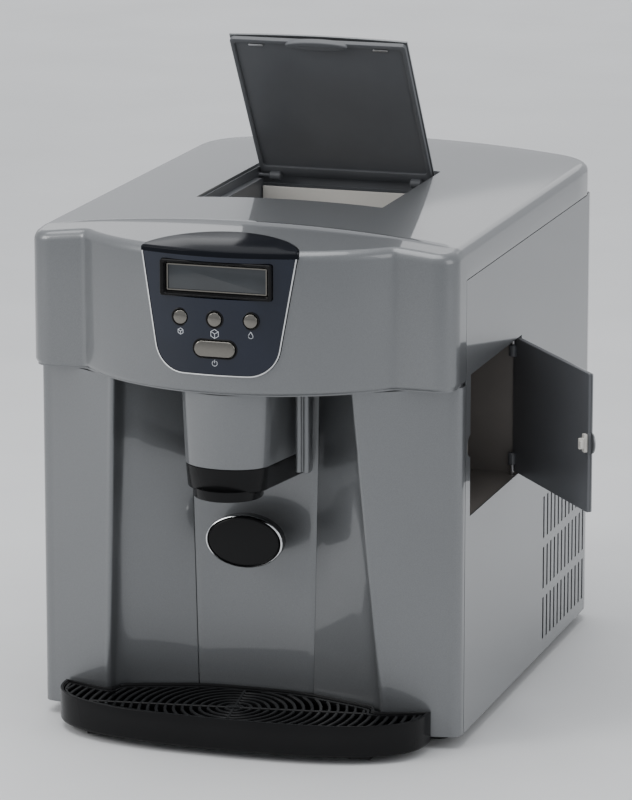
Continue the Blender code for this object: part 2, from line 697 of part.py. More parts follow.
# ---- control panel ------------------------------------------------------------------------------
def make_controls():
    bezel = arc_shell("control_bezel", 0.0006, 0.0030, 0.075, 0.30, 0.42, "navy_gloss")
    outline_tool = prism("bezel_outline", panel_outline(-0.0012, 0.4096), -0.12, -0.03, axis="Y")
    boolean(bezel, outline_tool, "INTERSECT")
    trim = arc_shell("panel_trim", 0.0012, 0.0020, 0.078, 0.30, 0.42, "chrome")
    boolean(trim, prism("trim_outline", panel_outline(0.0, 0.4096), -0.12, -0.03, axis="Y"), "INTERSECT")
    cut(trim, prism("trim_inner", panel_outline(-0.0009, 0.43), -0.12, -0.03, axis="Y"))
    window = prism("display_cut", rounded_rectangle(-0.0463, DISPLAY_Z - 0.0148, 0.0463,
                                                    DISPLAY_Z + 0.0148, 0.002), -0.12, -0.03, axis="Y")
    cut(bezel, window)
    frame = prism("display_frame", rounded_rectangle(-0.0459, DISPLAY_Z - 0.0144, 0.0459,
                                                     DISPLAY_Z + 0.0144, 0.002),
                  HEAD_APEX_Y + 0.0010, HEAD_APEX_Y + 0.0120, "black_plastic", axis="Y")
    cut(frame, prism("display_well", rounded_rectangle(-0.0415, DISPLAY_Z - 0.0108, 0.0415,
                                                       DISPLAY_Z + 0.0108, 0.001),
                     -0.12, HEAD_APEX_Y + 0.0094, axis="Y"))
    box("display_window", (-0.0411, HEAD_APEX_Y + 0.0068, DISPLAY_Z - 0.0104),
        (0.0411, HEAD_APEX_Y + 0.0090, DISPLAY_Z + 0.0104), "display_glass")
    for i, name in enumerate(("small_ice", "large_ice", "water")):
        x = BUTTON_SPACING * (i - 1)
        face = bulge_y(x)
        cut(bezel, prism("bore_" + name, circle(x, BUTTON_Z, 0.0064, 20), -0.12, -0.03, axis="Y"))
        turned("button_" + name, [(0.0050, -0.0022), (0.0056, -0.0014), (0.0056, 0.0034),
                                  (0.0030, 0.0034), (0.0030, 0.0070)],
               (x, face, BUTTON_Z), "nickel", axis="Y")
    pill = rounded_rectangle(-0.0169, POWER_Z - 0.0064, 0.0169, POWER_Z + 0.0064, 0.0063, 5)
    cut(bezel, prism("bore_power", inset(pill, -0.0006), -0.12, -0.03, axis="Y"))
    face = HEAD_APEX_Y
    power = prism("button_power", pill, face - 0.0020, face + 0.0040, "nickel", axis="Y")
    join(power, cylinder("power_stem", 0.003, 0.002, 0.0070, (0, face, POWER_Z), axis="Y"))
    visor_outline = visor_plan()
    low = [(x, y, cover_top_z(x, y) - 0.0030) for x, y in visor_outline]
    high = [(x, y, cover_top_z(x, y) + 0.0004) for x, y in visor_outline]
    loft([low, high], "panel_visor", "navy_gloss")
    board = box("control_board", (-0.052, HEAD_APEX_Y + 0.0160, 0.322), (0.052, HEAD_APEX_Y + 0.0176, 0.404),
                "circuit_green")
    for i, x in enumerate((-BUTTON_SPACING, 0.0, BUTTON_SPACING)):
        join(board, box(f"key_switch_{i}", (x - 0.003, HEAD_APEX_Y + 0.0130, BUTTON_Z - 0.003),
                        (x + 0.003, HEAD_APEX_Y + 0.0165, BUTTON_Z + 0.003)))
    join(board, box("power_switch", (-0.003, HEAD_APEX_Y + 0.0130, POWER_Z - 0.003),
                    (0.003, HEAD_APEX_Y + 0.0165, POWER_Z + 0.003)))


# ---- dispenser ----------------------------------------------------------------------------------
def nozzle_outline(grow, back, steps=14):
    """D-shaped outline that bulges to the front, widens to the back and is flat there."""
    half = 0.0352 + grow
    points = [(half + 0.175 * (back - NOZZLE_Y), back)]
    for i in range(steps + 1):
        a = pi * i / steps
        points.append((half * cos(a), NOZZLE_Y - (0.0255 + grow) * sin(a)))
    return points + [(-points[0][0], back)]


def ring_loft(name, levels, slot):
    """A hollow sleeve: each level is (z, outer outline); the wall is one thickness."""
    rings = [[(x, y, z) for x, y in outline] for z, outline in levels]
    inner = [[(x, y, z) for x, y in inset(outline, 0.0025)] for z, outline in reversed(levels)]
    shape = bmesh.new()
    loops = [[shape.verts.new(p) for p in ring] for ring in rings + inner]
    for low, high in zip(loops, loops[1:] + loops[:1]):
        for i in range(len(low)):
            j = (i + 1) % len(low)
            shape.faces.new((low[i], low[j], high[j], high[i]))
    return mesh_object(name, closed(shape), slot)


def make_dispenser():
    back = 0.0145
    shroud = ring_loft("nozzle_shroud", [(0.2372, nozzle_outline(0.0, back)),
                                         (0.2980, nozzle_outline(0.0026, back))], "silver_paint")
    cut(shroud, box("shroud_mouth", (-0.0280, 0.005, 0.2450), (0.0280, 0.020, 0.31)))
    ring = ring_loft("nozzle_ring", [(0.2175, nozzle_outline(-0.0020, back)),
                                     (0.2367, nozzle_outline(-0.0004, back))], "black_plastic")
    plate = prism("nozzle_floor", inset(nozzle_outline(-0.0020, back), 0.0012), 0.2177, 0.2200)
    throat = cylinder("nozzle_throat", 0.0280, 0.2107, 0.2190, (0, NOZZLE_Y, 0), sides=28)
    ramp = prism("nozzle_ramp", [(-0.0220, 0.2190), (0.0112, 0.2190), (0.0112, 0.2455), (0.0085, 0.2455)],
                 -0.0300, 0.0300, axis="X")
    join(ring, plate, throat, ramp)
    cut(ring, cylinder("throat_bore", 0.0255, 0.20, 0.2500, (0, NOZZLE_Y, 0), sides=28))
    spout = prism("water_spout", rounded_rectangle(SPOUT_X - 0.0058, -0.0250, SPOUT_X + 0.0058, -0.0130,
                                                   0.0035), 0.2268, 0.2985, "silver_paint")
    cut(spout, cylinder("spout_bore", 0.0030, 0.20, 0.32, (SPOUT_X, -0.0190, 0), sides=12))
    panel_y = 0.0226
    front = PADDLE_FRONT_Y
    rim = prism("paddle_ring", circle(0, PADDLE_Z, 0.0217, 32, 1.5), front + 0.0004, front + 0.0024,
                "chrome", axis="Y")
    cut(rim, prism("paddle_ring_hole", circle(0, PADDLE_Z, 0.0202, 32, 1.5), -0.1, 0.1, axis="Y"))
    pad = prism("dispense_paddle", circle(0, PADDLE_Z, 0.0199, 32, 1.5), front, front + 0.0040,
                "black_plastic", axis="Y")
    join(pad, prism("paddle_body", circle(0, PADDLE_Z, 0.0212, 32, 1.5), front + 0.0028, front + 0.0132,
                    axis="Y"))
    make_paddle_lever(pad, panel_y)


def make_paddle_lever(arm, panel_y):
    """The arm behind the pad: it reaches through the panel and hangs from a pin above."""
    join(arm, box("paddle_arm", (-0.0060, PADDLE_FRONT_Y + 0.0120, PADDLE_Z - 0.006),
                  (0.0060, panel_y + 0.0200, PADDLE_Z + 0.006)))
    join(arm, box("paddle_strap", (-0.0060, panel_y + 0.0170, PADDLE_Z - 0.006),
                  (0.0060, panel_y + 0.0200, PADDLE_Z + 0.052)))
    join(arm, cylinder("paddle_hub", 0.0055, -0.012, 0.012,
                       (0, *PADDLE_HINGE), axis="X", sides=16))
    cut(arm, cylinder("paddle_hub_bore", 0.0027, -0.02, 0.02,
                      (0, *PADDLE_HINGE), axis="X", sides=16))
    cylinder("paddle_pin", 0.0024, -0.024, 0.024, (0, *PADDLE_HINGE),
             "steel", axis="X", sides=16)
    bracket = box("paddle_bracket", (-0.0240, panel_y + 0.0060, PADDLE_Z + 0.046),
                  (-0.0150, panel_y + 0.0260, PADDLE_Z + 0.064), "black_plastic")
    other = box("bracket_ear", (0.0150, panel_y + 0.0060, PADDLE_Z + 0.046),
                (0.0240, panel_y + 0.0260, PADDLE_Z + 0.064))
    bridge = box("bracket_bridge", (-0.0240, panel_y + 0.0040, PADDLE_Z + 0.062),
                 (0.0240, panel_y + 0.0260, PADDLE_Z + 0.068))
    join(bracket, other, bridge)
    switch_arm = box("switch_arm", (-0.0240, panel_y + 0.0200, PADDLE_Z - 0.010),
                     (-0.0150, panel_y + 0.0260, PADDLE_Z + 0.050))
    switch = box("paddle_switch", (-0.0240, panel_y + 0.0258, PADDLE_Z - 0.010),
                 (0.0060, panel_y + 0.0360, PADDLE_Z + 0.010))
    join(bracket, switch_arm, switch)
    cut(bracket, cylinder("bracket_bore", 0.0027, -0.03, 0.03,
                          (0, *PADDLE_HINGE), axis="X", sides=16))


# ---- drip tray ----------------------------------------------------------------------------------
def tray_outline(shrink=0.0):
    """Plan of the drip tray: a full front curve and a back edge that follows the alcove."""
    half = TRAY_HALF_WIDTH - shrink
    side_y = -0.0060 - shrink
    reach = side_y - TRAY_FRONT_Y - shrink
    power = 2.6
    points = []
    for i in range(25):
        a = pi * i / 24
        c, s = cos(a), sin(a)
        x = -half * abs(c) ** (2 / power) * (1 if c > 0 else -1)
        y = side_y - reach * abs(s) ** (2 / power)
        points.append((x, y))
    back = [(0.1260, -0.0160), (0.1130, -0.0168), (0.1085, -0.0050), (0.0960, 0.0010), (0.0700, 0.0095),
            (0.0470, 0.0162), (0.0220, 0.0188)]
    points += [(x - shrink * 0.6, y - shrink * 1.1) for x, y in back]
    points += [(-x + shrink * 0.6, y - shrink * 1.1) for x, y in reversed(back)]
    return points


def make_drip_tray():
    outer = tray_outline()
    inner = tray_outline(0.0035)
    rings = [[(x, y, TRAY_BOTTOM_Z) for x, y in tray_outline(0.0025)],
             [(x, y, TRAY_BOTTOM_Z + 0.003) for x, y in outer],
             [(x, y, TRAY_TOP_Z) for x, y in outer],
             [(x, y, TRAY_TOP_Z) for x, y in inner],
             [(x, y, TRAY_BOTTOM_Z + 0.0025) for x, y in inner]]
    loft(rings, "drip_tray", "black_plastic")
    grille = prism("drip_grille", tray_outline(0.0052), TRAY_TOP_Z - 0.0045, TRAY_TOP_Z - 0.0015,
                   "black_plastic")
    centre_y = -0.0330
    for k in range(5):
        radius = 0.0125 + 0.0125 * k
        for quarter in range(4):
            start = 90 * quarter + 45
            clip = 12 if radius > 0.04 else 16
            arc = [radians(start + clip / 2 + (90 - clip) * i / 6) for i in range(7)]
            if radius > 0.031 and quarter == 0:
                continue
            outline = [((radius + 0.0016) * cos(a), centre_y + (radius + 0.0016) * sin(a)) for a in arc]
            outline += [((radius - 0.0016) * cos(a), centre_y + (radius - 0.0016) * sin(a))
                        for a in reversed(arc)]
            if min(p[1] for p in outline) < TRAY_FRONT_Y + 0.010:
                continue
            cut(grille, prism(f"grille_slot_{k}_{quarter}", outline, 0.02, 0.04))


# ---- ice making and storage ---------------------------------------------------------------------
def make_ice_bin():
    bin_body = box("ice_bin", (-0.0700, 0.1120, 0.2700), (0.0700, 0.2540, 0.3780), "cream_plastic")
    cut(bin_body, box("bin_hollow", (-0.0675, 0.1145, 0.3000), (0.0675, 0.2515, 0.39)))
    cut(bin_body, cylinder("bin_trough", 0.0265, 0.1145, 0.2515, (0, 0, AUGER_Z), axis="Y", sides=24))
    cut(bin_body, box("bin_outlet", (-0.0240, 0.10, 0.2790), (0.0240, 0.12, 0.3240)))
    cut(bin_body, cylinder("bin_shaft_hole", 0.0052, 0.24, 0.27, (0, 0, AUGER_Z), axis="Y", sides=16))


def make_auger():
    """A helical flight wound round a shaft, drawn as one skin along the shaft."""
    start, end = 0.1180, 0.2470
    steps_per_turn, turns = 13, 3
    shaft = cylinder("auger", 0.0045, 0.1165, 0.2720, (0, 0, AUGER_Z), "steel", axis="Y", sides=10)
    shape = bmesh.new()
    sections = []
    for i in range(steps_per_turn * turns + 1):
        angle = 0.07 + 2 * pi * i / steps_per_turn
        y = start + (end - 0.004 - start) * i / (steps_per_turn * turns)
        ring = []
        for radius, dy in ((0.0030, 0.0), (0.0225, 0.0008), (0.0225, 0.0026), (0.0030, 0.0034)):
            ring.append(shape.verts.new((radius * cos(angle), y + dy, AUGER_Z + radius * sin(angle))))
        sections.append(ring)
    for low, high in zip(sections, sections[1:]):
        for k in range(4):
            m = (k + 1) % 4
            shape.faces.new((low[k], low[m], high[m], high[k]))
    shape.faces.new(list(reversed(sections[0])))
    shape.faces.new(sections[-1])
    join(shaft, mesh_object("auger_flight", closed(shape)))
    motor = turned("auger_motor", [(0.0260, 0.2550), (0.0260, 0.2760), (0.0180, 0.2765),
                                   (0.0180, 0.2900)], (0, 0, AUGER_Z), "steel", axis="Y")
    cut(motor, cylinder("auger_motor_bore", 0.0050, 0.25, 0.2740, (0, 0, AUGER_Z), axis="Y", sides=16))


def make_chute():
    chute = box("ice_chute", (-0.0275, 0.0260, 0.2640), (0.0275, 0.1112, 0.3280), "cream_plastic")
    cut(chute, box("chute_hollow", (-0.0250, 0.0, 0.2780), (0.0250, 0.2, 0.3255)))
    flap = box("chute_flap", (-0.0240, 0.0285, 0.2790), (0.0240, 0.0305, 0.3180), "cream_plastic")
    join(flap, cylinder("flap_hub", 0.0030, -0.0240, 0.0240, (0, *FLAP_HINGE), axis="X", sides=14))


def make_ice_maker():
    evaporator = box("evaporator", (-0.0520, 0.3040, 0.3600), (0.0520, 0.3480, 0.3700), "aluminium")
    for i in range(4):
        for k, y in enumerate((0.3160, 0.3360)):
            x = -0.0360 + 0.0240 * i
            finger = turned(f"finger_{i}_{k}", [(0.0030, 0.3300), (0.0048, 0.3340), (0.0048, 0.3620)],
                            (x, y, 0), sides=12)
            join(evaporator, finger)
    tray = box("water_tray", (-0.0560, 0.2960, 0.3220), (0.0560, 0.3640, 0.3540), "charcoal_plastic")
    cut(tray, box("water_tray_well", (-0.0540, 0.2980, 0.3240), (0.0540, 0.3620, 0.37)))
    join(tray, cylinder("tray_shaft", 0.0030, 0.0550, 0.0740, (0, *WATER_TRAY_HINGE), axis="X", sides=14))
    join(tray, cylinder("tray_stub", 0.0030, -0.0640, -0.0550, (0, *WATER_TRAY_HINGE), axis="X", sides=14))
    motor = turned("tray_motor", [(0.0180, 0.0660), (0.0180, 0.0920)], (0, *WATER_TRAY_HINGE),
                   "steel", axis="X", sides=18)
    cut(motor, cylinder("tray_motor_bore", 0.0034, 0.06, 0.0760, (0, *WATER_TRAY_HINGE), axis="X",
                        sides=14))


# ---- water and refrigeration --------------------------------------------------------------------
def make_water_system():
    tank = box("water_tank", (-0.1100, 0.0500, 0.0300), (0.0950, 0.2100, 0.1500), "clear_tank")
    cut(tank, box("tank_hollow", (-0.1075, 0.0525, 0.0325), (0.0925, 0.2075, 0.16)))
    turned("water_pump", [(0.0160, 0.0304), (0.0160, 0.0600), (0.0100, 0.0605), (0.0100, 0.0700)],
                  (-0.1400, 0.1300, 0), "black_plastic")
    tube("pump_hose", [(-0.1400, 0.1300, 0.0710), (-0.1400, 0.1300, 0.1000), (-0.1380, 0.1600, 0.2000),
                       (-0.1300, 0.2600, 0.2900), (-0.1000, 0.3300, 0.3300), (-0.0690, 0.3400, 0.3420)],
         0.0040, "hose", 8)
    tube("spout_hose", [(SPOUT_X, -0.0190, 0.3000), (SPOUT_X, -0.0180, 0.3120), (0.0610, 0.0150, 0.3260),
                        (0.0800, 0.0600, 0.3150), (0.0920, 0.1000, 0.2400), (0.0850, 0.1100, 0.1620)],
         0.0040, "hose", 8)


def make_refrigeration():
    x, y = -0.0550, 0.3300
    compressor = turned("compressor", [(0.030, 0.0270), (0.052, 0.0330), (0.056, 0.0500),
                                       (0.056, 0.0880), (0.0575, 0.0890), (0.0575, 0.0920),
                                       (0.056, 0.0930), (0.055, 0.1250), (0.046, 0.1420),
                                       (0.025, 0.1500)], (x, y, 0), "compressor_black", sides=24)
    plate = box("compressor_plate", (x - 0.060, y - 0.045, 0.0240), (x + 0.060, y + 0.045, 0.0280))
    join(compressor, plate)
    for i, (dx, dy) in enumerate(((-1, -1), (1, -1), (1, 1), (-1, 1))):
        join(compressor, cylinder(f"compressor_foot_{i}", 0.0070, 0.0134, 0.0250,
                                  (x + dx * 0.050, y + dy * 0.036, 0), sides=12))
    condenser = box("condenser", (0.1380, 0.2600, 0.0200), (0.1640, 0.4000, 0.1560), "aluminium")
    for i in range(9):
        zz = 0.0290 + 0.0140 * i
        cut(condenser, box(f"fin_gap_{i}", (0.1480, 0.2640, zz), (0.17, 0.3960, zz + 0.0100)))
    frame = box("fan_frame", (0.1060, 0.2850, 0.0300), (0.1320, 0.3750, 0.1200), "black_plastic")
    cut(frame, cylinder("fan_duct", 0.0410, 0.1160, 0.14, (0, *FAN_CENTRE[1:]), axis="X", sides=28))
    for i in range(4):
        a0 = radians(90 * i + 10)
        outline = [(0.3300 + r * cos(a0 + w), 0.0750 + r * sin(a0 + w))
                   for r, w in ((0.016, 0.0), (0.037, 0.0), (0.037, radians(68)), (0.016, radians(64)))]
        cut(frame, prism(f"fan_grille_{i}", outline, 0.10, 0.12, axis="X"))
    rotor = cylinder("fan_rotor", 0.0130, 0.1168, 0.1300, (0, *FAN_CENTRE[1:]), "black_plastic",
                     axis="X", sides=16)
    for i in range(5):
        root_outline = [(0.1190, -0.0070), (0.1208, -0.0070), (0.1288, 0.0070), (0.1270, 0.0070)]
        blade = prism(f"fan_blade_{i}", root_outline, 0.0110, 0.0385)
        blade.rotation_euler.x = radians(72 * i)
        blade.location = (0, *FAN_CENTRE[1:])
        join(rotor, blade)
    tube("discharge_tube", [(0.0030, 0.3420, 0.1000), (0.0200, 0.3900, 0.1300), (0.0800, 0.4120, 0.1700),
                            (0.1510, 0.4000, 0.1800), (0.1510, 0.3700, 0.1610)], 0.0030, "copper", 8)
    tube("suction_tube", [(-0.0550, 0.3300, 0.1525), (-0.0600, 0.3450, 0.1900), (-0.0820, 0.3850, 0.2600),
                          (-0.0820, 0.3900, 0.3450), (-0.0780, 0.3600, 0.3650), (-0.0650, 0.3300, 0.3650),
                          (-0.0535, 0.3260, 0.3650)],
         0.0034, "copper", 8)


def main():
    clear_scene()
    make_base()
    make_fascia()
    make_dispense_panel()
    make_top_cover()
    make_side_panels()
    make_rear_panel()
    make_lid_frame()
    make_lid()
    make_side_door()
    make_compartment()
    make_controls()
    make_dispenser()
    make_drip_tray()
    make_ice_bin()
    make_auger()
    make_chute()
    make_ice_maker()
    make_water_system()
    make_refrigeration()
    still = (0.0, 0.0, 0.0)
    hang("lid_axis", (0.0, *LID_HINGE), (-LID_REST, 0.0, 0.0), "lid_skin", "lid_liner")
    hang("door_axis", (DOOR_HINGE[0] - 0.0010, DOOR_HINGE[1], 0.0), (0.0, 0.0, DOOR_REST),
         "door_skin", "door_liner", "door_latch")
    for i, name in enumerate(("small_ice", "large_ice", "water")):
        x = BUTTON_SPACING * (i - 1)
        hang(name + "_slide", (x, bulge_y(x), BUTTON_Z), still, "button_" + name)
    hang("power_slide", (0.0, HEAD_APEX_Y, POWER_Z), still, "button_power")
    hang("paddle_axis", (0.0, *PADDLE_HINGE), still, "dispense_paddle", "paddle_ring")
    hang("flap_axis", (0.0, *FLAP_HINGE), still, "chute_flap")
    hang("tray_slide", (0.0, TRAY_FRONT_Y, TRAY_TOP_Z), still, "drip_tray")
    hang("grille_lift", (0.0, TRAY_FRONT_Y, TRAY_TOP_Z), still, "drip_grille")
    hang("auger_axis", (0.0, 0.0, AUGER_Z), still, "auger")
    hang("fan_axis", FAN_CENTRE, still, "fan_rotor")
    hang("water_tray_axis", (0.0, *WATER_TRAY_HINGE), still, "water_tray")
    hang("plug_slide", (0.0, DEPTH, 0.0), still, "drain_plug")
    frame = pivot("frame", FRAME_SHIFT)
    for thing in list(bpy.data.objects):
        if thing.parent is None and thing is not frame:
            thing.parent = frame


main()
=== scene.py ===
"""Looks of a countertop ice maker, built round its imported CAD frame."""
import json
from math import ceil, cos, pi, radians, sin, sqrt

import bmesh
import bpy
from mathutils import Matrix, Vector


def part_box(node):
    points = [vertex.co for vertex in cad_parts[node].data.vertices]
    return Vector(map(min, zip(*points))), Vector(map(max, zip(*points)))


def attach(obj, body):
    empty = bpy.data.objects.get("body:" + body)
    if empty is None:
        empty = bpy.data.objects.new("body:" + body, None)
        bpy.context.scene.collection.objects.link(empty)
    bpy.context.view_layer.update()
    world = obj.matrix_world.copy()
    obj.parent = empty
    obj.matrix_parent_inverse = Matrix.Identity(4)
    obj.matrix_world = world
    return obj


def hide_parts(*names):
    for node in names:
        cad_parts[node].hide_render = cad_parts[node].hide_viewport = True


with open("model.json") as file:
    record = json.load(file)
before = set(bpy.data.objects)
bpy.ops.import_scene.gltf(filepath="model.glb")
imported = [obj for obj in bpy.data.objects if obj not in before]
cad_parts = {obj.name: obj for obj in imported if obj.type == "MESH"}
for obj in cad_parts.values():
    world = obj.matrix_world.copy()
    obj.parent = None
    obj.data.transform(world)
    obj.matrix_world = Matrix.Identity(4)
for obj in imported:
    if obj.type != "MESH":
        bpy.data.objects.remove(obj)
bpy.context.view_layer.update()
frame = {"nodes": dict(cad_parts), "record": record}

# ---- the cabinet's own coordinates, read from the frame -----------------------------------------
PANEL_SETBACK = 0.0143      # from the pillar faces back to the side panels
LEFT_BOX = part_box("side_panel_left")
RIGHT_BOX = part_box("side_panel_right")
ORIGIN = Vector(((LEFT_BOX[0][0] + RIGHT_BOX[1][0]) / 2, RIGHT_BOX[0][1] - PANEL_SETBACK, 0.0))
HALF_WIDTH = (RIGHT_BOX[1][0] - LEFT_BOX[0][0]) / 2
DEPTH = RIGHT_BOX[1][1] - ORIGIN.y
SEAM_Z = 0.3835
RIM_TOP_Z = 0.4097
CROWN = 0.012
TOP_ROUND = 0.008
WALL = 0.0025
PANEL_FRONT_Y = 0.0135
REAR_CORNER = 0.024
HEAD_BOTTOM_Z = 0.299
HEAD_WING_Y = -0.024
HEAD_APEX_Y = -0.081
HEAD_RADIUS = 0.1817
HEAD_FILLET = 0.015
HEAD_CORNER = 0.010
HEAD_DROP = 0.0075
CREASE_Y = 0.006
UNDERSIDE = 0.010
LID_OPENING = (-0.080, 0.108, 0.080, 0.2795)
DOOR_OPENING = (0.0275, 0.188, 0.1835, 0.3045)
BUTTON_Z = 0.3600
BUTTON_SPACING = 0.0290
POWER_Z = 0.3363
DISPLAY_Z = 0.3910
TRAY_HALF_WIDTH = 0.156
TRAY_FRONT_Y = -0.077
TRAY_TOP_Z = 0.0325
TRAY_BOTTOM_Z = 0.0062
NOZZLE_Y = -0.0490
NOZZLE_BACK_Y = 0.0145
PADDLE_Z = 0.1627
PADDLE_FRONT_Y = -0.0122
PADDLE_HINGE = (0.0411, 0.2160)
SPOUT_X = 0.0535
PANEL_FACE_Y = 0.0226
GAP = 0.0004
HEAD_CUT = (-0.12, -0.03)   # y range of tools that pass through the head's front wall
KEY_BORE = 0.0064
KEY_RADIUS = 0.0056
VISOR_HALF = 0.0648
BEZEL_PROUD = 0.0006        # how far the bezel stands out of the head
LID_HALF = 0.0772
LID_FRONT_Y = 0.1116
LID_THICK = 0.0020
DISPLAY_HALF = (0.0459, 0.0144)     # display frame, half width and half height
WELL_HALF = (0.0415, 0.0108)        # recess in it that holds the window
SHROUD_LOW_Z = 0.2372
RING_LOW_Z, RING_TOP_Z = 0.2175, 0.2367
THROAT_RADIUS = 0.0255

LID_AXIS = (0.0, 0.266, 0.4105)
DOOR_AXIS = (0.1725, 0.1775, 0.0)
LID_REST = radians(56.5)
DOOR_REST = radians(38.5)


# ---- materials ----------------------------------------------------------------------------------
class Nodes:
    """Small helper that adds and links shader nodes."""

    def __init__(self, name):
        self.material = bpy.data.materials.new(name)
        self.material.use_nodes = True
        self.tree = self.material.node_tree
        self.shader = self.tree.nodes["Principled BSDF"]
        self.place = self.add("ShaderNodeTexCoord").outputs["Object"]

    def add(self, kind, **settings):
        node = self.tree.nodes.new(kind)
        for key, value in settings.items():
            if key in node.inputs:
                node.inputs[key].default_value = value
            else:
                setattr(node, key, value)
        return node

    def link(self, source, target):
        self.tree.links.new(source, target)

    def noise(self, scale, detail=3.0, stretch=None):
        node = self.add("ShaderNodeTexNoise", Scale=scale, Detail=detail)
        source = self.place
        if stretch:
            mapping = self.add("ShaderNodeMapping")
            mapping.inputs["Scale"].default_value = stretch
            self.link(source, mapping.inputs["Vector"])
            source = mapping.outputs["Vector"]
        self.link(source, node.inputs["Vector"])
        return node.outputs["Fac"]

    def ramp(self, source, low, high, start=0.3, end=0.7):
        node = self.add("ShaderNodeValToRGB")
        node.color_ramp.elements[0].position = start
        node.color_ramp.elements[1].position = end
        node.color_ramp.elements[0].color = (*low, 1.0)
        node.color_ramp.elements[1].color = (*high, 1.0)
        self.link(source, node.inputs["Fac"])
        return node.outputs["Color"]

    def spread(self, source, low, high):
        node = self.add("ShaderNodeMapRange")
        node.inputs["To Min"].default_value = low
        node.inputs["To Max"].default_value = high
        self.link(source, node.inputs["Value"])
        return node.outputs["Result"]

    def bump(self, source, strength, distance):
        node = self.add("ShaderNodeBump")
        node.inputs["Strength"].default_value = strength
        node.inputs["Distance"].default_value = distance
        self.link(source, node.inputs["Height"])
        self.link(node.outputs["Normal"], self.shader.inputs["Normal"])
        return node

    def set(self, **values):
        for key, value in values.items():
            self.shader.inputs[key.replace("_", " ")].default_value = value


def shade(colour, factor):
    return tuple(min(1.0, c * factor) for c in colour)


def lacquer(name, colour, coat=0.8):
    """Metallic lacquer: fine flake in colour and normal, orange peel, a clear coat."""
    m = Nodes(name)
    flake = m.noise(2600.0, 2.0)
    cloud = m.noise(9.0, 2.0)
    tone = m.ramp(flake, shade(colour, 0.88), shade(colour, 1.12), 0.35, 0.65)
    drift = m.ramp(cloud, (0.97, 0.97, 0.97), (1.0, 1.0, 1.0))
    blend = m.add("ShaderNodeMix", data_type="RGBA", blend_type="MULTIPLY")
    blend.inputs["Factor"].default_value = 1.0
    m.link(tone, blend.inputs["A"])
    m.link(drift, blend.inputs["B"])
    m.link(blend.outputs["Result"], m.shader.inputs["Base Color"])
    m.link(m.spread(flake, 0.36, 0.48), m.shader.inputs["Roughness"])
    m.bump(m.noise(900.0, 2.0), 0.05, 0.0002)
    m.set(Metallic=0.60, Coat_Weight=coat, Coat_Roughness=0.05, Coat_IOR=1.5)
    return m.material


def plastic(name, colour, roughness, grain=1500.0, depth=0.12, variation=0.08, coat=0.0,
            specular=0.5):
    """Moulded plastic: fine grain, slight change of tone and gloss from place to place."""
    m = Nodes(name)
    fine = m.noise(grain, 3.0)
    broad = m.noise(22.0, 4.0)
    m.link(m.ramp(broad, shade(colour, 1 - variation), shade(colour, 1 + variation)),
           m.shader.inputs["Base Color"])
    m.link(m.spread(broad, roughness * 0.9, roughness * 1.12), m.shader.inputs["Roughness"])
    m.bump(fine, depth, 0.0003)
    m.set(Coat_Weight=coat, Coat_Roughness=0.04, Specular_IOR_Level=specular)
    return m.material


def metal(name, colour, roughness, stretch, scale=500.0, depth=0.05):
    """Bare or plated metal with drawn lines along one direction."""
    m = Nodes(name)
    lines = m.noise(scale, 3.0, stretch)
    m.link(m.ramp(lines, shade(colour, 0.85), shade(colour, 1.1)), m.shader.inputs["Base Color"])
    m.link(m.spread(lines, roughness * 0.75, roughness * 1.25), m.shader.inputs["Roughness"])
    m.bump(lines, depth, 0.0002)
    m.set(Metallic=1.0)
    return m.material


def clear_plastic(name, colour):
    m = Nodes(name)
    cloud = m.noise(30.0, 3.0)
    m.link(m.ramp(cloud, shade(colour, 0.94), colour), m.shader.inputs["Base Color"])
    m.link(m.spread(cloud, 0.12, 0.22), m.shader.inputs["Roughness"])
    m.set(Transmission_Weight=0.7, IOR=1.45)
    return m.material


LOOKS = {
    "silver_paint": lacquer("silver_lacquer", (0.168, 0.175, 0.182), 0.9),
    "charcoal_plastic": plastic("charcoal_satin", (0.092, 0.096, 0.104), 0.38, 1800.0, 0.08),
    "black_plastic": plastic("black_gloss", (0.0075, 0.0075, 0.0080), 0.24, 1500.0, 0.03, 0.08, 0.0, 0.14),
    "navy_gloss": plastic("navy_gloss", (0.010, 0.014, 0.026), 0.16, 1200.0, 0.02, 0.10, 0.0, 0.40),
    "display_glass": plastic("display_smoke", (0.030, 0.035, 0.040), 0.10, 300.0, 0.01, 0.15, 0.3),
    "nickel": metal("satin_nickel", (0.20, 0.19, 0.172), 0.18, (1.0, 1.0, 14.0)),
    "chrome": metal("bright_chrome", (0.86, 0.87, 0.88), 0.08, (1.0, 1.0, 1.0), 60.0, 0.01),
    "cream_plastic": plastic("cream_satin", (0.62, 0.60, 0.56), 0.45, 900.0, 0.08, 0.04),
    "compartment_plastic": plastic("brown_grey_satin", (0.17, 0.155, 0.143), 0.50, 1200.0, 0.10),
    "steel": metal("drawn_steel", (0.55, 0.55, 0.56), 0.30, (1.0, 12.0, 1.0)),
    "aluminium": metal("mill_aluminium", (0.75, 0.76, 0.77), 0.32, (1.0, 10.0, 1.0)),
    "copper": metal("drawn_copper", (0.72, 0.38, 0.22), 0.28, (1.0, 1.0, 6.0)),
    "compressor_black": plastic("black_enamel", (0.015, 0.015, 0.016), 0.30, 700.0, 0.08, 0.1, 0.4),
    "clear_tank": clear_plastic("frosted_tank", (0.70, 0.78, 0.82)),
    "circuit_green": plastic("solder_mask", (0.015, 0.10, 0.045), 0.42, 600.0, 0.15, 0.2),
    "rubber": plastic("moulded_rubber", (0.022, 0.022, 0.022), 0.80, 1100.0, 0.25),
    "hose": plastic("silicone_hose", (0.62, 0.62, 0.59), 0.38, 900.0, 0.06),
}
VISOR_GLOSS = plastic("visor_gloss", (0.008, 0.009, 0.012), 0.14, 1200.0, 0.02, 0.10, 0.0, 0.05)
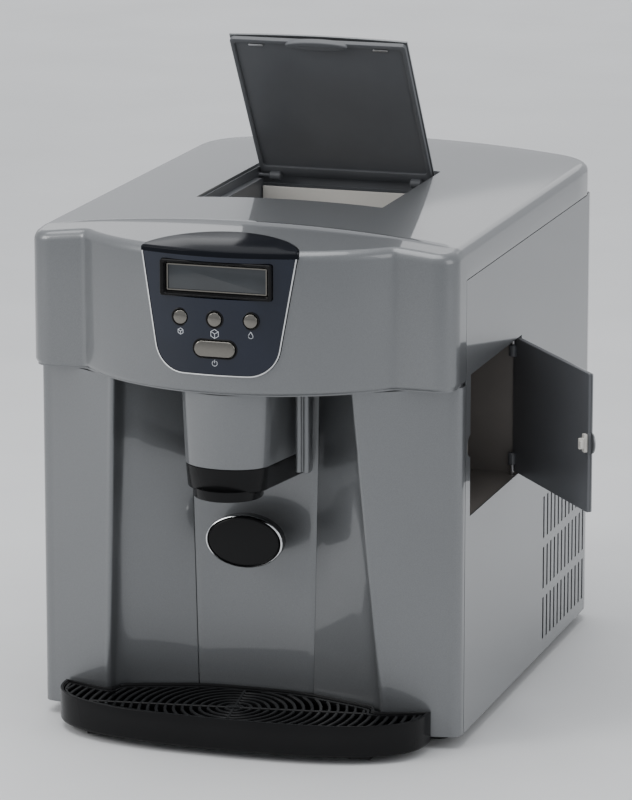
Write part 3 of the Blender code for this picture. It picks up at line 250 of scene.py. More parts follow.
INK = plastic("legend_ink", (0.72, 0.75, 0.80), 0.45, 1500.0, 0.05, 0.03)


# ---- mesh helpers -------------------------------------------------------------------------------
def finish_piece(name, shape, look, body, nodes=(), sharp=35.0, bevel=0.0, segments=3, turn=None):
    """Makes a shaded piece from a bmesh drawn in cabinet coordinates and ties it to the frame."""
    bmesh.ops.recalc_face_normals(shape, faces=shape.faces)
    if turn:
        axis_point, axis, angle = turn
        spin = Matrix.Translation(axis_point) @ Matrix.Rotation(angle, 4, axis)
        bmesh.ops.transform(shape, matrix=spin @ Matrix.Translation(-Vector(axis_point)),
                            verts=shape.verts)
    bmesh.ops.translate(shape, vec=ORIGIN, verts=shape.verts)
    mesh = bpy.data.meshes.new(name)
    shape.to_mesh(mesh)
    shape.free()
    mesh.materials.append(LOOKS[look])
    piece = bpy.data.objects.new(name, mesh)
    bpy.context.collection.objects.link(piece)
    smooth(mesh, sharp)
    if bevel:
        change = piece.modifiers.new("edges", "BEVEL")
        change.width = bevel
        change.segments = segments
        change.limit_method = "ANGLE"
        change.angle_limit = radians(sharp)
        change.harden_normals = True
    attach(piece, body)
    if nodes:
        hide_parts(*nodes)
    return piece


def paint(piece, material):
    piece.data.materials.clear()
    piece.data.materials.append(material)


def smooth(mesh, sharp):
    mesh.shade_smooth()
    mesh.set_sharp_from_angle(angle=radians(sharp))


def skin(shape, rings, caps=True):
    """Adds faces through rings of equal point counts."""
    loops = [[shape.verts.new(point) for point in ring] for ring in rings]
    count = len(loops[0])
    for low, high in zip(loops, loops[1:]):
        for i in range(count):
            j = (i + 1) % count
            shape.faces.new((low[i], low[j], high[j], high[i]))
    if caps:
        shape.faces.new(list(reversed(loops[0])))
        shape.faces.new(loops[-1])
    return loops


def add_loop(shape, rings):
    """A tube through rings that closes on itself."""
    loops = [[shape.verts.new(p) for p in ring] for ring in rings]
    for low, high in zip(loops, loops[1:] + loops[:1]):
        for i in range(len(low)):
            j = (i + 1) % len(low)
            shape.faces.new((low[i], low[j], high[j], high[i]))


AXES = {
    "Z": lambda a, b, c: (a, b, c),
    "Y": lambda a, b, c: (a, c, b),
    "X": lambda a, b, c: (c, a, b),
}


def add_prism(shape, outline, low, high, axis="Z"):
    place = AXES[axis]
    skin(shape, [[place(a, b, level) for a, b in outline] for level in (low, high)])


def add_box(shape, low, high):
    add_prism(shape, [(low[0], low[1]), (high[0], low[1]), (high[0], high[1]), (low[0], high[1])],
              low[2], high[2])


def add_turned(shape, profile, centre, axis="Z", sides=48, closed_ring=False):
    """Turned body: (radius, height) points; a closed ring has no caps."""
    rings = []
    place = AXES[axis]
    for radius, height in profile + (profile[:1] if closed_ring else []):
        ring = []
        for i in range(sides):
            angle = 2 * pi * i / sides
            point = place(radius * cos(angle), radius * sin(angle), height)
            ring.append(Vector(centre) + Vector(point))
        rings.append(ring)
    if closed_ring:
        loops = skin(shape, rings[:-1], caps=False)
        first, last = loops[0], loops[-1]
        for i in range(sides):
            j = (i + 1) % sides
            shape.faces.new((last[i], last[j], first[j], first[i]))
    else:
        skin(shape, rings)


def rounded_rectangle(x0, y0, x1, y1, radius, steps=8):
    points = []
    corners = ((x1 - radius, y1 - radius, 0), (x0 + radius, y1 - radius, 90),
               (x0 + radius, y0 + radius, 180), (x1 - radius, y0 + radius, 270))
    for cx, cy, start in corners:
        for i in range(steps + 1):
            angle = radians(start + 90 * i / steps)
            points.append((cx + radius * cos(angle), cy + radius * sin(angle)))
    return points


def curve_through(points, steps=4):
    """Catmull-Rom curve through points of any dimension."""
    points = [Vector(p) for p in points]
    ends = [points[0] * 2 - points[1]] + points + [points[-1] * 2 - points[-2]]
    path = []
    for i in range(1, len(ends) - 2):
        p0, p1, p2, p3 = ends[i - 1:i + 3]
        for k in range(steps):
            t = k / steps
            path.append(0.5 * (2 * p1 + (p2 - p0) * t + (2 * p0 - 5 * p1 + 4 * p2 - p3) * t * t
                               + (3 * p1 - p0 - 3 * p2 + p3) * t ** 3))
    return [tuple(p) for p in path + [points[-1]]]


def inset(outline, distance):
    """The outline moved inwards along its own normals."""
    count = len(outline)
    area = sum(outline[i][0] * outline[(i + 1) % count][1]
               - outline[(i + 1) % count][0] * outline[i][1] for i in range(count))
    side = 1 if area > 0 else -1
    moved = []
    for i, here in enumerate(outline):
        a = (Vector(here) - Vector(outline[i - 1])).normalized()
        b = (Vector(outline[(i + 1) % count]) - Vector(here)).normalized()
        normal = (Vector((-a.y - b.y, a.x + b.x)) * side).normalized()
        spread = max(0.35, normal.dot(Vector((-a.y, a.x)) * side))
        point = Vector(here) + normal * distance / spread
        moved.append((point.x, point.y))
    return moved


def pillow_prism(shape, outline, low, high, edge, steps=4, both=False, axis="Z"):
    """A prism whose upper edge, or both edges, are rounded."""
    place = AXES[axis]
    levels = []
    if both:
        levels += [(edge * (1 - sin(pi / 2 * k / steps)), low + edge * (1 - cos(pi / 2 * k / steps)))
                   for k in range(steps + 1)]
    else:
        levels.append((0.0, low))
    sign = 1 if high > low else -1
    levels += [(edge * (1 - cos(pi / 2 * k / steps)), high - sign * edge * (1 - sin(pi / 2 * k / steps)))
               for k in range(steps + 1)]
    skin(shape, [[place(a, b, level) for a, b in inset(outline, off)] for off, level in levels])


def boolean(piece, shape, operation="DIFFERENCE"):
    """Cuts a piece, or keeps its overlap, with a tool drawn in cabinet coordinates."""
    bmesh.ops.recalc_face_normals(shape, faces=shape.faces)
    bmesh.ops.translate(shape, vec=ORIGIN, verts=shape.verts)
    mesh = bpy.data.meshes.new("tool")
    shape.to_mesh(mesh)
    shape.free()
    tool = bpy.data.objects.new("tool", mesh)
    bpy.context.collection.objects.link(tool)
    change = piece.modifiers.new("cut", "BOOLEAN")
    change.operation = operation
    change.solver = "EXACT"
    change.object = tool
    graph = bpy.context.evaluated_depsgraph_get()
    graph.update()
    result = bpy.data.meshes.new_from_object(piece.evaluated_get(graph))
    piece.modifiers.remove(change)
    piece.data = result
    smooth(result, 35.0)
    bpy.data.objects.remove(tool, do_unlink=True)


# ---- outlines shared with the CAD ---------------------------------------------------------------
def bulge_y(x, inward=0.0):
    radius = HEAD_RADIUS - inward
    fillet = HEAD_FILLET + inward
    wing = HEAD_WING_Y + inward
    centre_y = HEAD_APEX_Y + HEAD_RADIUS
    reach = sqrt((radius + fillet) ** 2 - (centre_y - wing + fillet) ** 2)
    x = abs(x)
    if x >= reach:
        return wing
    if x >= reach * radius / (radius + fillet):
        return wing - fillet + sqrt(fillet ** 2 - (reach - x) ** 2)
    return centre_y - sqrt(radius ** 2 - x ** 2)


def corner_fall(x, half, radius):
    over = abs(x) - (half - radius)
    return radius - sqrt(max(0.0, radius ** 2 - over ** 2)) if over > 0 else 0.0


def cover_front_y(x, inward=0.0):
    return bulge_y(x, inward) + corner_fall(x, HALF_WIDTH - inward, HEAD_CORNER - inward)


def cover_rear_y(x, inward=0.0):
    return DEPTH - inward - corner_fall(x, HALF_WIDTH - inward, REAR_CORNER - inward)


def cover_top_z(x, y):
    z = RIM_TOP_Z + CROWN * (1 - (x / HALF_WIDTH) ** 2)
    if y < CREASE_Y:
        z -= HEAD_DROP * (CREASE_Y - y) / (CREASE_Y - HEAD_APEX_Y)
    return z


def crease_bead(x, y):
    """Low bead along the crease, dying out before the sides."""
    reach = max(0.0, 1 - (abs(x) / 0.167) ** 8)
    return 0.00035 * reach if abs(y - CREASE_Y) < 1e-6 else 0.0


def cover_columns(inward, rounding, steps):
    half = HALF_WIDTH - inward
    cap_half = half - rounding
    columns = []
    for i in range(2 * steps + 1):
        u = i / steps - 1
        f = sin(u * pi / 2) * 0.35 + u * 0.65
        front = cover_front_y(f * half, inward) + rounding
        rear = cover_rear_y(f * half, inward) - rounding
        stations = [front + (CREASE_Y - 0.0009 - front) * t / 5 for t in range(6)]
        stations += [CREASE_Y, CREASE_Y + 0.0009, PANEL_FRONT_Y, PANEL_FRONT_Y + 0.0004]
        stations += [PANEL_FRONT_Y + (rear - PANEL_FRONT_Y) * t / 12 for t in range(1, 13)]
        columns.append([(f * cap_half, y) for y in stations])
    return columns


def cover_skin(inward, drop, lip):
    """Rings from the skirt's lower edge up and over the rounding, and the cap's columns."""
    rounding = TOP_ROUND - drop
    columns = cover_columns(inward, rounding, 60)
    edge = [c[0] for c in columns] + columns[-1][1:-1]
    edge += [c[-1] for c in reversed(columns)] + list(reversed(columns[0][1:-1]))
    normals = []
    for i in range(len(edge)):
        along = Vector(edge[(i + 1) % len(edge)]) - Vector(edge[i - 1])
        normals.append(Vector((along.y, -along.x)).normalized())
    lip_steps = 5 if lip else 0
    rings = []
    for k in range(lip_steps + 1):
        ring = []
        for (x, y), n in zip(edge, normals):
            head = y <= PANEL_FRONT_Y + 0.0002
            low = HEAD_BOTTOM_Z if head else SEAM_Z
            radius = (0.0055 if head else 0.0006) if lip else 0.0
            a = pi / 2 * k / lip_steps if lip else pi / 2
            out = rounding - radius * (1 - sin(a))
            ring.append((x + n.x * out, y + n.y * out, low + radius * (1 - cos(a))))
        rings.append(ring)
    for k in range(9):
        a = pi / 2 * (1 - k / 8)
        ring = []
        for (x, y), n in zip(edge, normals):
            out = rounding * sin(a)
            z = cover_top_z(x, y) - drop - rounding * (1 - cos(a))
            ring.append((x + n.x * out, y + n.y * out, z))
        rings.append(ring)
    bead = crease_bead if lip else (lambda x, y: 0.0)
    return rings, [[(x, y, cover_top_z(x, y) - drop + bead(x, y)) for x, y in c] for c in columns]


def add_cover_skin(shape, rings, columns):
    loops = skin(shape, rings, caps=False)
    rows = len(columns[0])
    last = len(columns) - 1
    grid = [[None] * rows for _ in columns]
    order = [(i, 0) for i in range(last + 1)] + [(last, j) for j in range(1, rows - 1)]
    order += [(i, rows - 1) for i in range(last, -1, -1)] + [(0, j) for j in range(rows - 2, 0, -1)]
    for (i, j), vert in zip(order, loops[-1]):
        grid[i][j] = vert
    for i, column in enumerate(columns):
        for j, point in enumerate(column):
            if grid[i][j] is None:
                grid[i][j] = shape.verts.new(point)
    for i in range(last):
        for j in range(rows - 1):
            shape.faces.new((grid[i][j], grid[i + 1][j], grid[i + 1][j + 1], grid[i][j + 1]))
    return loops[0]


def panel_outline(grow=0.0, top_z=0.4100, steps=14):
    """Trapezoid of the control panel seen from the front, with large lower corners."""
    low_z = 0.3148 - grow
    low_half = 0.0485 + grow
    slope = 0.166
    radius = 0.0255 + grow
    points = [(low_half + slope * (top_z - low_z), top_z)]
    for i in range(steps + 1):
        angle = radians(-90 * i / steps) - slope * (1 - i / steps)
        points.append((low_half + 0.0036 - radius + radius * cos(angle),
                       low_z + radius + radius * sin(angle)))
    return points + [(-x, z) for x, z in reversed(points)]


def visor_plan(grow=0.0, overhang=0.0, steps=36):
    """Lens-shaped outline on the top of the head: its front follows the bulge."""
    half, depth = VISOR_HALF + grow, 0.0455 + 2 * grow
    corner_y = bulge_y(VISOR_HALF) - BEZEL_PROUD - grow
    front = [half * (2 * i / steps - 1) for i in range(steps + 1)]
    ends = 0 if overhang else 1
    rear = [half * cos(pi * i / steps) for i in range(ends, steps + 1 - ends)]
    points = [(x, bulge_y(x) - BEZEL_PROUD - overhang) for x in front]
    return points + [(x, corner_y + depth * max(0.0, 1 - (x / half) ** 2) ** 0.58) for x in rear]


# ---- covers -------------------------------------------------------------------------------------
def make_top_cover():
    shape = bmesh.new()
    outer = add_cover_skin(shape, *cover_skin(0.0, 0.0, True))
    inner = add_cover_skin(shape, *cover_skin(WALL, WALL, False))
    for i in range(len(outer)):
        j = (i + 1) % len(outer)
        shape.faces.new((outer[j], outer[i], inner[i], inner[j]))
    cover = finish_piece("top_cover_shell", shape, "silver_paint", "cabinet", ["top_cover"])
    x0, y0, x1, y1 = LID_OPENING
    hole = bmesh.new()
    add_prism(hole, rounded_rectangle(x0, y0, x1, y1, 0.0015, 4), 0.36, 0.44)
    boolean(cover, hole)
    window = bmesh.new()
    add_prism(window, panel_outline(GAP, 0.4110), *HEAD_CUT, "Y")
    boolean(cover, window)
    visor_hole = bmesh.new()
    add_prism(visor_hole, visor_plan(GAP, 0.03), 0.4090, 0.43)
    boolean(cover, visor_hole)


def fascia_outline(t):
    """Plan of a pillar: t is 0 at its foot and 1 under the control head."""
    ridge_x = 0.1180 + (0.1005 - 0.1180) * t
    ridge_y = -0.0100 + (-0.0415 + 0.0100) * t
    step = 0.0100 + 0.0080 * t
    seam_x = 0.0490 + 0.0065 * t
    seam_y = 0.0195 - 0.002 * t
    corner = 0.009
    outer = []
    for i in range(9):
        a = radians(90 * i / 8)
        outer.append((HALF_WIDTH - corner + corner * cos(a), corner - corner * sin(a)))
    start, end = Vector(outer[-1]), Vector((ridge_x + 0.0045, ridge_y * 0.94 + 0.0002))
    face = [tuple(start.lerp(end, s)) for s in (0.2, 0.4, 0.6, 0.8, 0.9)]
    ridge = [tuple(end), (ridge_x + 0.0012, ridge_y),
             (ridge_x - 0.0014, ridge_y + 0.0012), (ridge_x - 0.0023, ridge_y + 0.0045)]
    valley_x, valley_y = ridge_x - 0.0040, ridge_y + step
    flank = [(valley_x + 0.0003, valley_y - 0.0022)]
    for i in range(1, 6):
        s = (i - 0.6) / 4.4
        flank.append((valley_x + (seam_x - valley_x) * s, valley_y + (seam_y - valley_y) * s))
    rest = curve_through([outer[-1]] + face + ridge + flank)[1:]
    return [(HALF_WIDTH, PANEL_FRONT_Y - GAP)] + outer + rest


def offset_path(points, distance):
    """An open line moved to its inner side, with mitred corners."""
    moved = []
    for i, here in enumerate(points):
        before = Vector(here) - Vector(points[max(i - 1, 0)])
        after = Vector(points[min(i + 1, len(points) - 1)]) - Vector(here)
        before = (before if i else after).normalized()
        after = (after if i < len(points) - 1 else before).normalized()
        normal = Vector((before.y + after.y, -before.x - after.x)).normalized()
        spread = max(0.5, normal.dot(Vector((before.y, -before.x))))
        point = Vector(here) + normal * distance / spread
        moved.append((point.x, point.y))
    return moved


FASCIA_TOP = 0.3120
FASCIA_LEVELS = [UNDERSIDE + 0.0004 + (HEAD_BOTTOM_Z - 0.001 - UNDERSIDE) * i / 12 for i in range(13)]
FASCIA_LEVELS += [HEAD_BOTTOM_Z - 0.0003, FASCIA_TOP]


def taper(z):
    return min(1.0, (z - UNDERSIDE) / (HEAD_BOTTOM_Z - UNDERSIDE))


def make_fascia():
    for side, name in ((1, "right"), (-1, "left")):
        rings = []
        for z in FASCIA_LEVELS:
            front = fascia_outline(taper(z))
            if z > HEAD_BOTTOM_Z - 0.0005:
                front = [(min(x, HALF_WIDTH - WALL - GAP), max(y, cover_front_y(x, 0.0090)))
                         for x, y in front]
            back = [(min(x, HALF_WIDTH - 0.004), max(y, 0.0030) if i < 11 else y)
                    for i, (x, y) in enumerate(offset_path(front, WALL))]
            back[0] = (HALF_WIDTH - 0.004, PANEL_FRONT_Y - GAP)
            rings.append([(side * x, y, z) for x, y in front + list(reversed(back))])
        shape = bmesh.new()
        skin(shape, rings)
        finish_piece("pillar_shell_" + name, shape, "silver_paint", "cabinet", ["pillar_" + name])


def make_dispense_panel():
    rings = []
    for z in FASCIA_LEVELS:
        t = taper(z)
        seam_x = 0.0490 + 0.0065 * t - GAP
        seam_y = 0.0195 - 0.002 * t
        edge = 0.0007
        xs = [seam_x * (1 - i / 16) for i in range(33)]
        front = []
        for x in xs:
            y = seam_y + 0.0035 * (1 - (x / seam_x) ** 2)
            near = max(0.0, 1 - (seam_x - abs(x)) / (seam_x / 16))
            front.append((x, y + edge * near, z))
        rings.append(front + [(x, y + 0.0025, z) for x, y, z in reversed(front)])
    shape = bmesh.new()
    skin(shape, rings)
    panel = finish_piece("dispense_panel_shell", shape, "silver_paint", "cabinet", ["dispense_panel"])
    for outline in (oval(0.0140, 1.0), rounded_rectangle(-0.030, 0.238, 0.030, 0.340, 0.006)):
        hole = bmesh.new()
        add_prism(hole, outline, 0.0, 0.05, "Y")
        boolean(panel, hole)


def oval(radius, stretch=1.5, sides=72):
    return [(radius * stretch * cos(2 * pi * i / sides), PADDLE_Z + radius * sin(2 * pi * i / sides))
            for i in range(sides)]


# ---- lid and side door --------------------------------------------------------------------------
LID_TURN = (LID_AXIS, "X", -LID_REST)
DOOR_TURN = (DOOR_AXIS, "Z", DOOR_REST)


def make_lid():
    """The crowned metal skin of the lid, drawn shut and then turned to its rest."""
    rear = LID_AXIS[1] + 0.0018
    shape = bmesh.new()
    xs = [LID_HALF * (i / 16 - 1) for i in range(33)]
    profile = [(x, lid_top_z(x)) for x in xs] + [(x, lid_top_z(x) - LID_THICK) for x in reversed(xs)]
    add_prism(shape, profile, LID_FRONT_Y, rear, "Y")
    finish_piece("lid_skin_shell", shape, "silver_paint", "lid", ["lid_skin"], bevel=0.0006,
                 turn=LID_TURN)
    make_lid_liner(rear)


def lid_top_z(x):
    return 0.4190 + 0.0022 * (1 - (x / LID_HALF) ** 2)


def make_lid_liner(rear):
    """Dark underside of the lid: a shallow pan, its ears and pins, the thumb tab and the clips."""
    half, front = LID_HALF, LID_FRONT_Y
    low, top = 0.4126, 0.4166
    shape = bmesh.new()
    rim = rounded_rectangle(-half + 0.001, front + 0.001, half - 0.001, rear, 0.003, 5)
    well = rounded_rectangle(-half + 0.0045, front + 0.0050, half - 0.0045, rear - 0.010, 0.003, 5)
    ease = 0.0007
    rings = [(rim, 0.0, top), (rim, 0.0, low + ease), (rim, ease * 0.3, low + ease * 0.3),
             (rim, ease, low), (well, -ease, low), (well, -ease * 0.3, low + ease * 0.3),
             (well, 0.0, low + ease),
             (well, 0.0, low + 0.0019)]
    skin(shape, [[(x, y, z) for x, y in inset(outline, off)] for outline, off, z in rings])
    for x0, x1 in ((-0.0675, -0.0575), (0.0575, 0.0675)):
        add_turned(shape, [(0.0030, x0), (0.0040, x0 + 0.001), (0.0040, x1 - 0.001), (0.0030, x1)],
                   LID_AXIS, "X", 32)
    for x0, x1 in ((-0.0785, -0.0600), (0.0600, 0.0785)):
        add_turned(shape, [(0.0015, x0), (0.0019, x0 + 0.0005), (0.0019, x1 - 0.0005), (0.0015, x1)],
                   LID_AXIS, "X", 24)
    finish_piece("lid_liner_shell", shape, "charcoal_plastic", "lid", ["lid_liner"], turn=LID_TURN)
    tab = bmesh.new()
    thumb = []
    for i in range(48):
        a = 2 * pi * i / 48
        thumb.append((0.0270 * cos(a), front + 0.0029 + (0.0050 if sin(a) > 0 else 0.0040) * sin(a)))
    pillow_prism(tab, thumb, 0.4150, 0.4098, 0.0012)
    finish_piece("lid_thumb_tab", tab, "charcoal_plastic", "lid", turn=LID_TURN)
    clips = bmesh.new()
    for x in (-0.0540, 0.0540):
        pillow_prism(clips, rounded_rectangle(x - 0.0065, front + 0.0058, x + 0.0065, front + 0.0078,
                                              0.0009, 4), 0.4145, 0.4125, 0.0003)
    finish_piece("lid_clips", clips, "steel", "lid", turn=LID_TURN)


def make_bin_collar():
    """The pale wall of the ice store that shows behind the lid opening."""
    wall = bmesh.new()
    add_box(wall, (-0.0700, 0.2535, 0.3790), (0.0700, 0.2550, 0.4035))
    finish_piece("bin_collar", wall, "cream_plastic", "cabinet", bevel=0.0004)


def door_outline(reach=0.0062):
    """Side door seen from the right: (y, z) with a finger bump at the free edge."""
    y0, z0, y1, z1 = DOOR_OPENING
    front, rear, low, high = y0 + 0.0015, y1 - 0.0030, z0 + 0.0012, z1 - 0.0012
    middle, bump = (low + high) / 2, 0.0085
    points = [p for p in rounded_rectangle(front, low, rear, high, 0.0012, 4)]
    index = max(i for i, p in enumerate(points) if p[0] < front + 0.0013 and p[1] > middle)
    arc = []
    for i in range(17):
        a = pi * i / 16
        arc.append((front - reach * sin(a), middle + bump * cos(a)))
    return points[:index + 1] + arc + points[index + 1:]


def make_side_door():
    """Skin, liner with its knuckles, and latch tab of the door, drawn shut and then turned."""
    outline = door_outline()
    y0, z0, z1 = DOOR_OPENING[0], DOOR_OPENING[1], DOOR_OPENING[3]
    skin_shape = bmesh.new()
    pillow_prism(skin_shape, outline, HALF_WIDTH - 0.0014, HALF_WIDTH, 0.0005, 3, axis="X")
    finish_piece("door_skin_shell", skin_shape, "silver_paint", "side_door", ["door_skin"],
                 turn=DOOR_TURN)
    low, high = z0 + 0.0012, z1 - 0.0012
    liner = bmesh.new()
    pillow_prism(liner, door_outline(0.0020), HALF_WIDTH - 0.0018, HALF_WIDTH - 0.0042, 0.0005, 3,
                 axis="X")
    for a, b in ((low + 0.006, low + 0.016), (high - 0.016, high - 0.006)):
        ring = [(0.0019, a), (0.0034, a), (0.0038, a + 0.0005), (0.0038, b - 0.0005), (0.0034, b),
                (0.0019, b)]
        add_turned(liner, ring, DOOR_AXIS, sides=32, closed_ring=True)
    finish_piece("door_liner_shell", liner, "charcoal_plastic", "side_door", ["door_liner"],
                 turn=DOOR_TURN)
    middle = (z0 + z1) / 2
    front = y0 + 0.0015
    latch = bmesh.new()
    pillow_prism(latch, rounded_rectangle(front + 0.0005, middle - 0.0075, front + 0.0060,
                                          middle + 0.0075, 0.001, 4),
                 HALF_WIDTH - 0.0044, HALF_WIDTH - 0.0070, 0.0005, 3, axis="X")
    pillow_prism(latch, rounded_rectangle(front + 0.0010, middle - 0.0045, front + 0.0040,
                                          middle + 0.0045, 0.0008, 4),
                 HALF_WIDTH - 0.0065, HALF_WIDTH - 0.0112, 0.0005, 3, axis="X")
    pillow_prism(latch, rounded_rectangle(front - 0.0014, middle - 0.0030, front + 0.0025,
                                          middle + 0.0030, 0.0008, 4),
                 HALF_WIDTH - 0.0090, HALF_WIDTH - 0.0112, 0.0005, 3, axis="X")
    finish_piece("door_latch_tab", latch, "cream_plastic", "side_door", ["door_latch"],
                 turn=DOOR_TURN)


# ---- control panel ------------------------------------------------------------------------------
def add_arc_shell(shape, out, deep, half, low, high, steps=48):
    xs = [half * (2 * i / steps - 1) for i in range(steps + 1)]
    outline = [(x, bulge_y(x) - out) for x in xs] + [(x, bulge_y(x) + deep) for x in reversed(xs)]
    add_prism(shape, outline, low, high)


def prism_tool(outline, low, high, axis="Y"):
    tool = bmesh.new()
    add_prism(tool, outline, low, high, axis)
    return tool


def button_bores():
    for i in range(3):
        x = BUTTON_SPACING * (i - 1)
        yield [(x + KEY_BORE * cos(a), BUTTON_Z + KEY_BORE * sin(a))
               for a in (2 * pi * k / 40 for k in range(40))]
    yield inset(pill_outline(), -0.0006)


def pill_outline():
    return rounded_rectangle(-0.0169, POWER_Z - 0.0064, 0.0169, POWER_Z + 0.0064, 0.0063, 10)


def make_bezel():
    shape = bmesh.new()
    add_arc_shell(shape, BEZEL_PROUD, 0.0030, 0.075, 0.30, 0.42)
    bezel = finish_piece("control_bezel_shell", shape, "navy_gloss", "cabinet", ["control_bezel"])
    boolean(bezel, prism_tool(panel_outline(-0.0012, 0.4096), *HEAD_CUT), "INTERSECT")
    boolean(bezel, prism_tool(display_rectangle(DISPLAY_HALF[0] + GAP, DISPLAY_HALF[1] + GAP, 0.002, 8),
                              *HEAD_CUT))
    for outline in button_bores():
        boolean(bezel, prism_tool(outline, *HEAD_CUT))
    rim = bmesh.new()
    add_arc_shell(rim, 0.0012, 0.0020, 0.078, 0.30, 0.42)
    trim = finish_piece("panel_trim_shell", rim, "chrome", "cabinet", ["panel_trim"])
    boolean(trim, prism_tool(panel_outline(0.0, 0.4096), *HEAD_CUT), "INTERSECT")
    boolean(trim, prism_tool(panel_outline(-0.0009, 0.43), *HEAD_CUT))
    visor = bmesh.new()
    plan = visor_plan()
    rings = []
    for off, rise in ((0.0, -0.0044), (0.0, -0.0012), (0.0003, -0.0004), (0.0009, 0.0002),
                      (0.0018, 0.0004)):
        rings.append([(x, y, cover_top_z(x, y) + rise) for x, y in inset(plan, off)])
    skin(visor, rings)
    piece = finish_piece("panel_visor_shell", visor, "navy_gloss", "cabinet", ["panel_visor"])
    paint(piece, VISOR_GLOSS)


def display_rectangle(half_width, half_height, radius, steps=6):
    """A rounded rectangle about the middle of the display, as (x, z)."""
    return rounded_rectangle(-half_width, DISPLAY_Z - half_height, half_width,
                             DISPLAY_Z + half_height, radius, steps)


def make_display():
    y = HEAD_APEX_Y
    frame_shape = bmesh.new()
    outer = display_rectangle(*DISPLAY_HALF, 0.002)
    lip = display_rectangle(0.0432, 0.0122, 0.0025)
    well = display_rectangle(*WELL_HALF, 0.001)
    rings = [(outer, 0.0, y + 0.0120), (outer, 0.0, y + 0.0012), (outer, 0.0005, y + 0.0007),
             (outer, 0.0012, y + 0.0006), (lip, -0.0006, y + 0.0010), (lip, 0.0, y + 0.0018),
             (well, 0.0, y + 0.0062), (well, 0.0, y + 0.0095)]
    skin(frame_shape, [[(a, level, b) for a, b in inset(outline, off)] for outline, off, level in rings])
    finish_piece("display_frame_shell", frame_shape, "black_plastic", "cabinet", ["display_frame"])
    glass = bmesh.new()
    pillow_prism(glass, display_rectangle(WELL_HALF[0] - GAP, WELL_HALF[1] - GAP, 0.0008, 4),
                 y + 0.0090, y + 0.0056, 0.0006, 3, axis="Y")
    finish_piece("display_glass_shell", glass, "display_glass", "cabinet", ["display_window"])
    edge = bmesh.new()
    ring_outer = display_rectangle(WELL_HALF[0] - GAP / 2, WELL_HALF[1] - GAP / 2, 0.0009, 4)
    ring_inner = inset(ring_outer, 0.0009)
    levels = [(ring_outer, y + 0.0055), (ring_outer, y + 0.0048), (ring_inner, y + 0.0048),
              (ring_inner, y + 0.0055)]
    add_loop(edge, [[(a, level, b) for a, b in outline] for outline, level in levels])
    finish_piece("display_edge", edge, "nickel", "cabinet")


def make_buttons():
    for i, name in enumerate(("small_ice", "large_ice", "water")):
        x = BUTTON_SPACING * (i - 1)
        face = bulge_y(x)
        profile = [(0.0030, 0.0070), (0.0030, 0.0034), (KEY_RADIUS, 0.0034), (KEY_RADIUS, -0.0012)]
        profile += [(KEY_RADIUS - 0.0008 * (1 - cos(a)), -0.0012 - 0.0008 * sin(a))
                    for a in (pi / 2 * k / 5 for k in range(1, 6))]
        profile += [(0.0035, -0.00235), (0.0012, -0.0025)]
        shape = bmesh.new()
        add_turned(shape, profile, (x, face, BUTTON_Z), "Y", 48)
        finish_piece("key_" + name, shape, "nickel", name + "_button", ["button_" + name])
        ring = bmesh.new()
        add_turned(ring, [(0.0062, -0.0003), (0.0073, -0.0003), (0.0073, -0.0009), (0.0068, -0.0012),
                          (0.0062, -0.0010)], (x, face, BUTTON_Z), "Y", 48, closed_ring=True)
        finish_piece("key_collar_" + name, ring, "black_plastic", "cabinet")
    pill = pill_outline()
    shape = bmesh.new()
    pillow_prism(shape, pill, HEAD_APEX_Y + 0.0040, HEAD_APEX_Y - 0.0021, 0.0012, 5, axis="Y")
    finish_piece("key_power", shape, "nickel", "power_button", ["button_power"])
    ring = bmesh.new()
    outer, inner = inset(pill, -0.0016), inset(pill, -0.0005)
    rings = []
    for outline, off, level in ((inner, 0.0, 0.0), (outer, 0.0, 0.0), (outer, 0.0, -0.0009),
                                (outer, 0.0005, -0.0013), (inner, 0.0, -0.0012)):
        rings.append([(a, bulge_y(a) + level, b) for a, b in inset(outline, off)])
    add_loop(ring, rings)
    finish_piece("key_collar_power", ring, "black_plastic", "cabinet")


def add_stroke(shape, points, width):
    """A printed line on the bezel: a thin raised ribbon along points (x, z)."""
    for (x0, z0), (x1, z1) in zip(points, points[1:]):
        along = Vector((x1 - x0, z1 - z0))
        if along.length < 1e-7:
            continue
        along.normalize()
        side = Vector((-along.y, along.x)) * width / 2
        tip = along * width * 0.35
        corners = [(x0 - side.x - tip.x, z0 - side.y - tip.y), (x1 - side.x + tip.x, z1 - side.y + tip.y),
                   (x1 + side.x + tip.x, z1 + side.y + tip.y), (x0 + side.x - tip.x, z0 + side.y - tip.y)]
        skin(shape, [[(x, bulge_y(x) - depth, z) for x, z in corners] for depth in (0.0003, 0.00078)])


def cube_icon(x, z, size):
    """Plain isometric cube: three visible faces in outline."""
    w, h = size * 0.87, size * 0.5
    top = [(x, z + size), (x + w, z + h), (x, z), (x - w, z + h), (x, z + size)]
    sides = [[(x - w, z + h), (x - w, z - h), (x, z - size), (x + w, z - h), (x + w, z + h)],
             [(x, z), (x, z - size)]]
    return [top] + sides


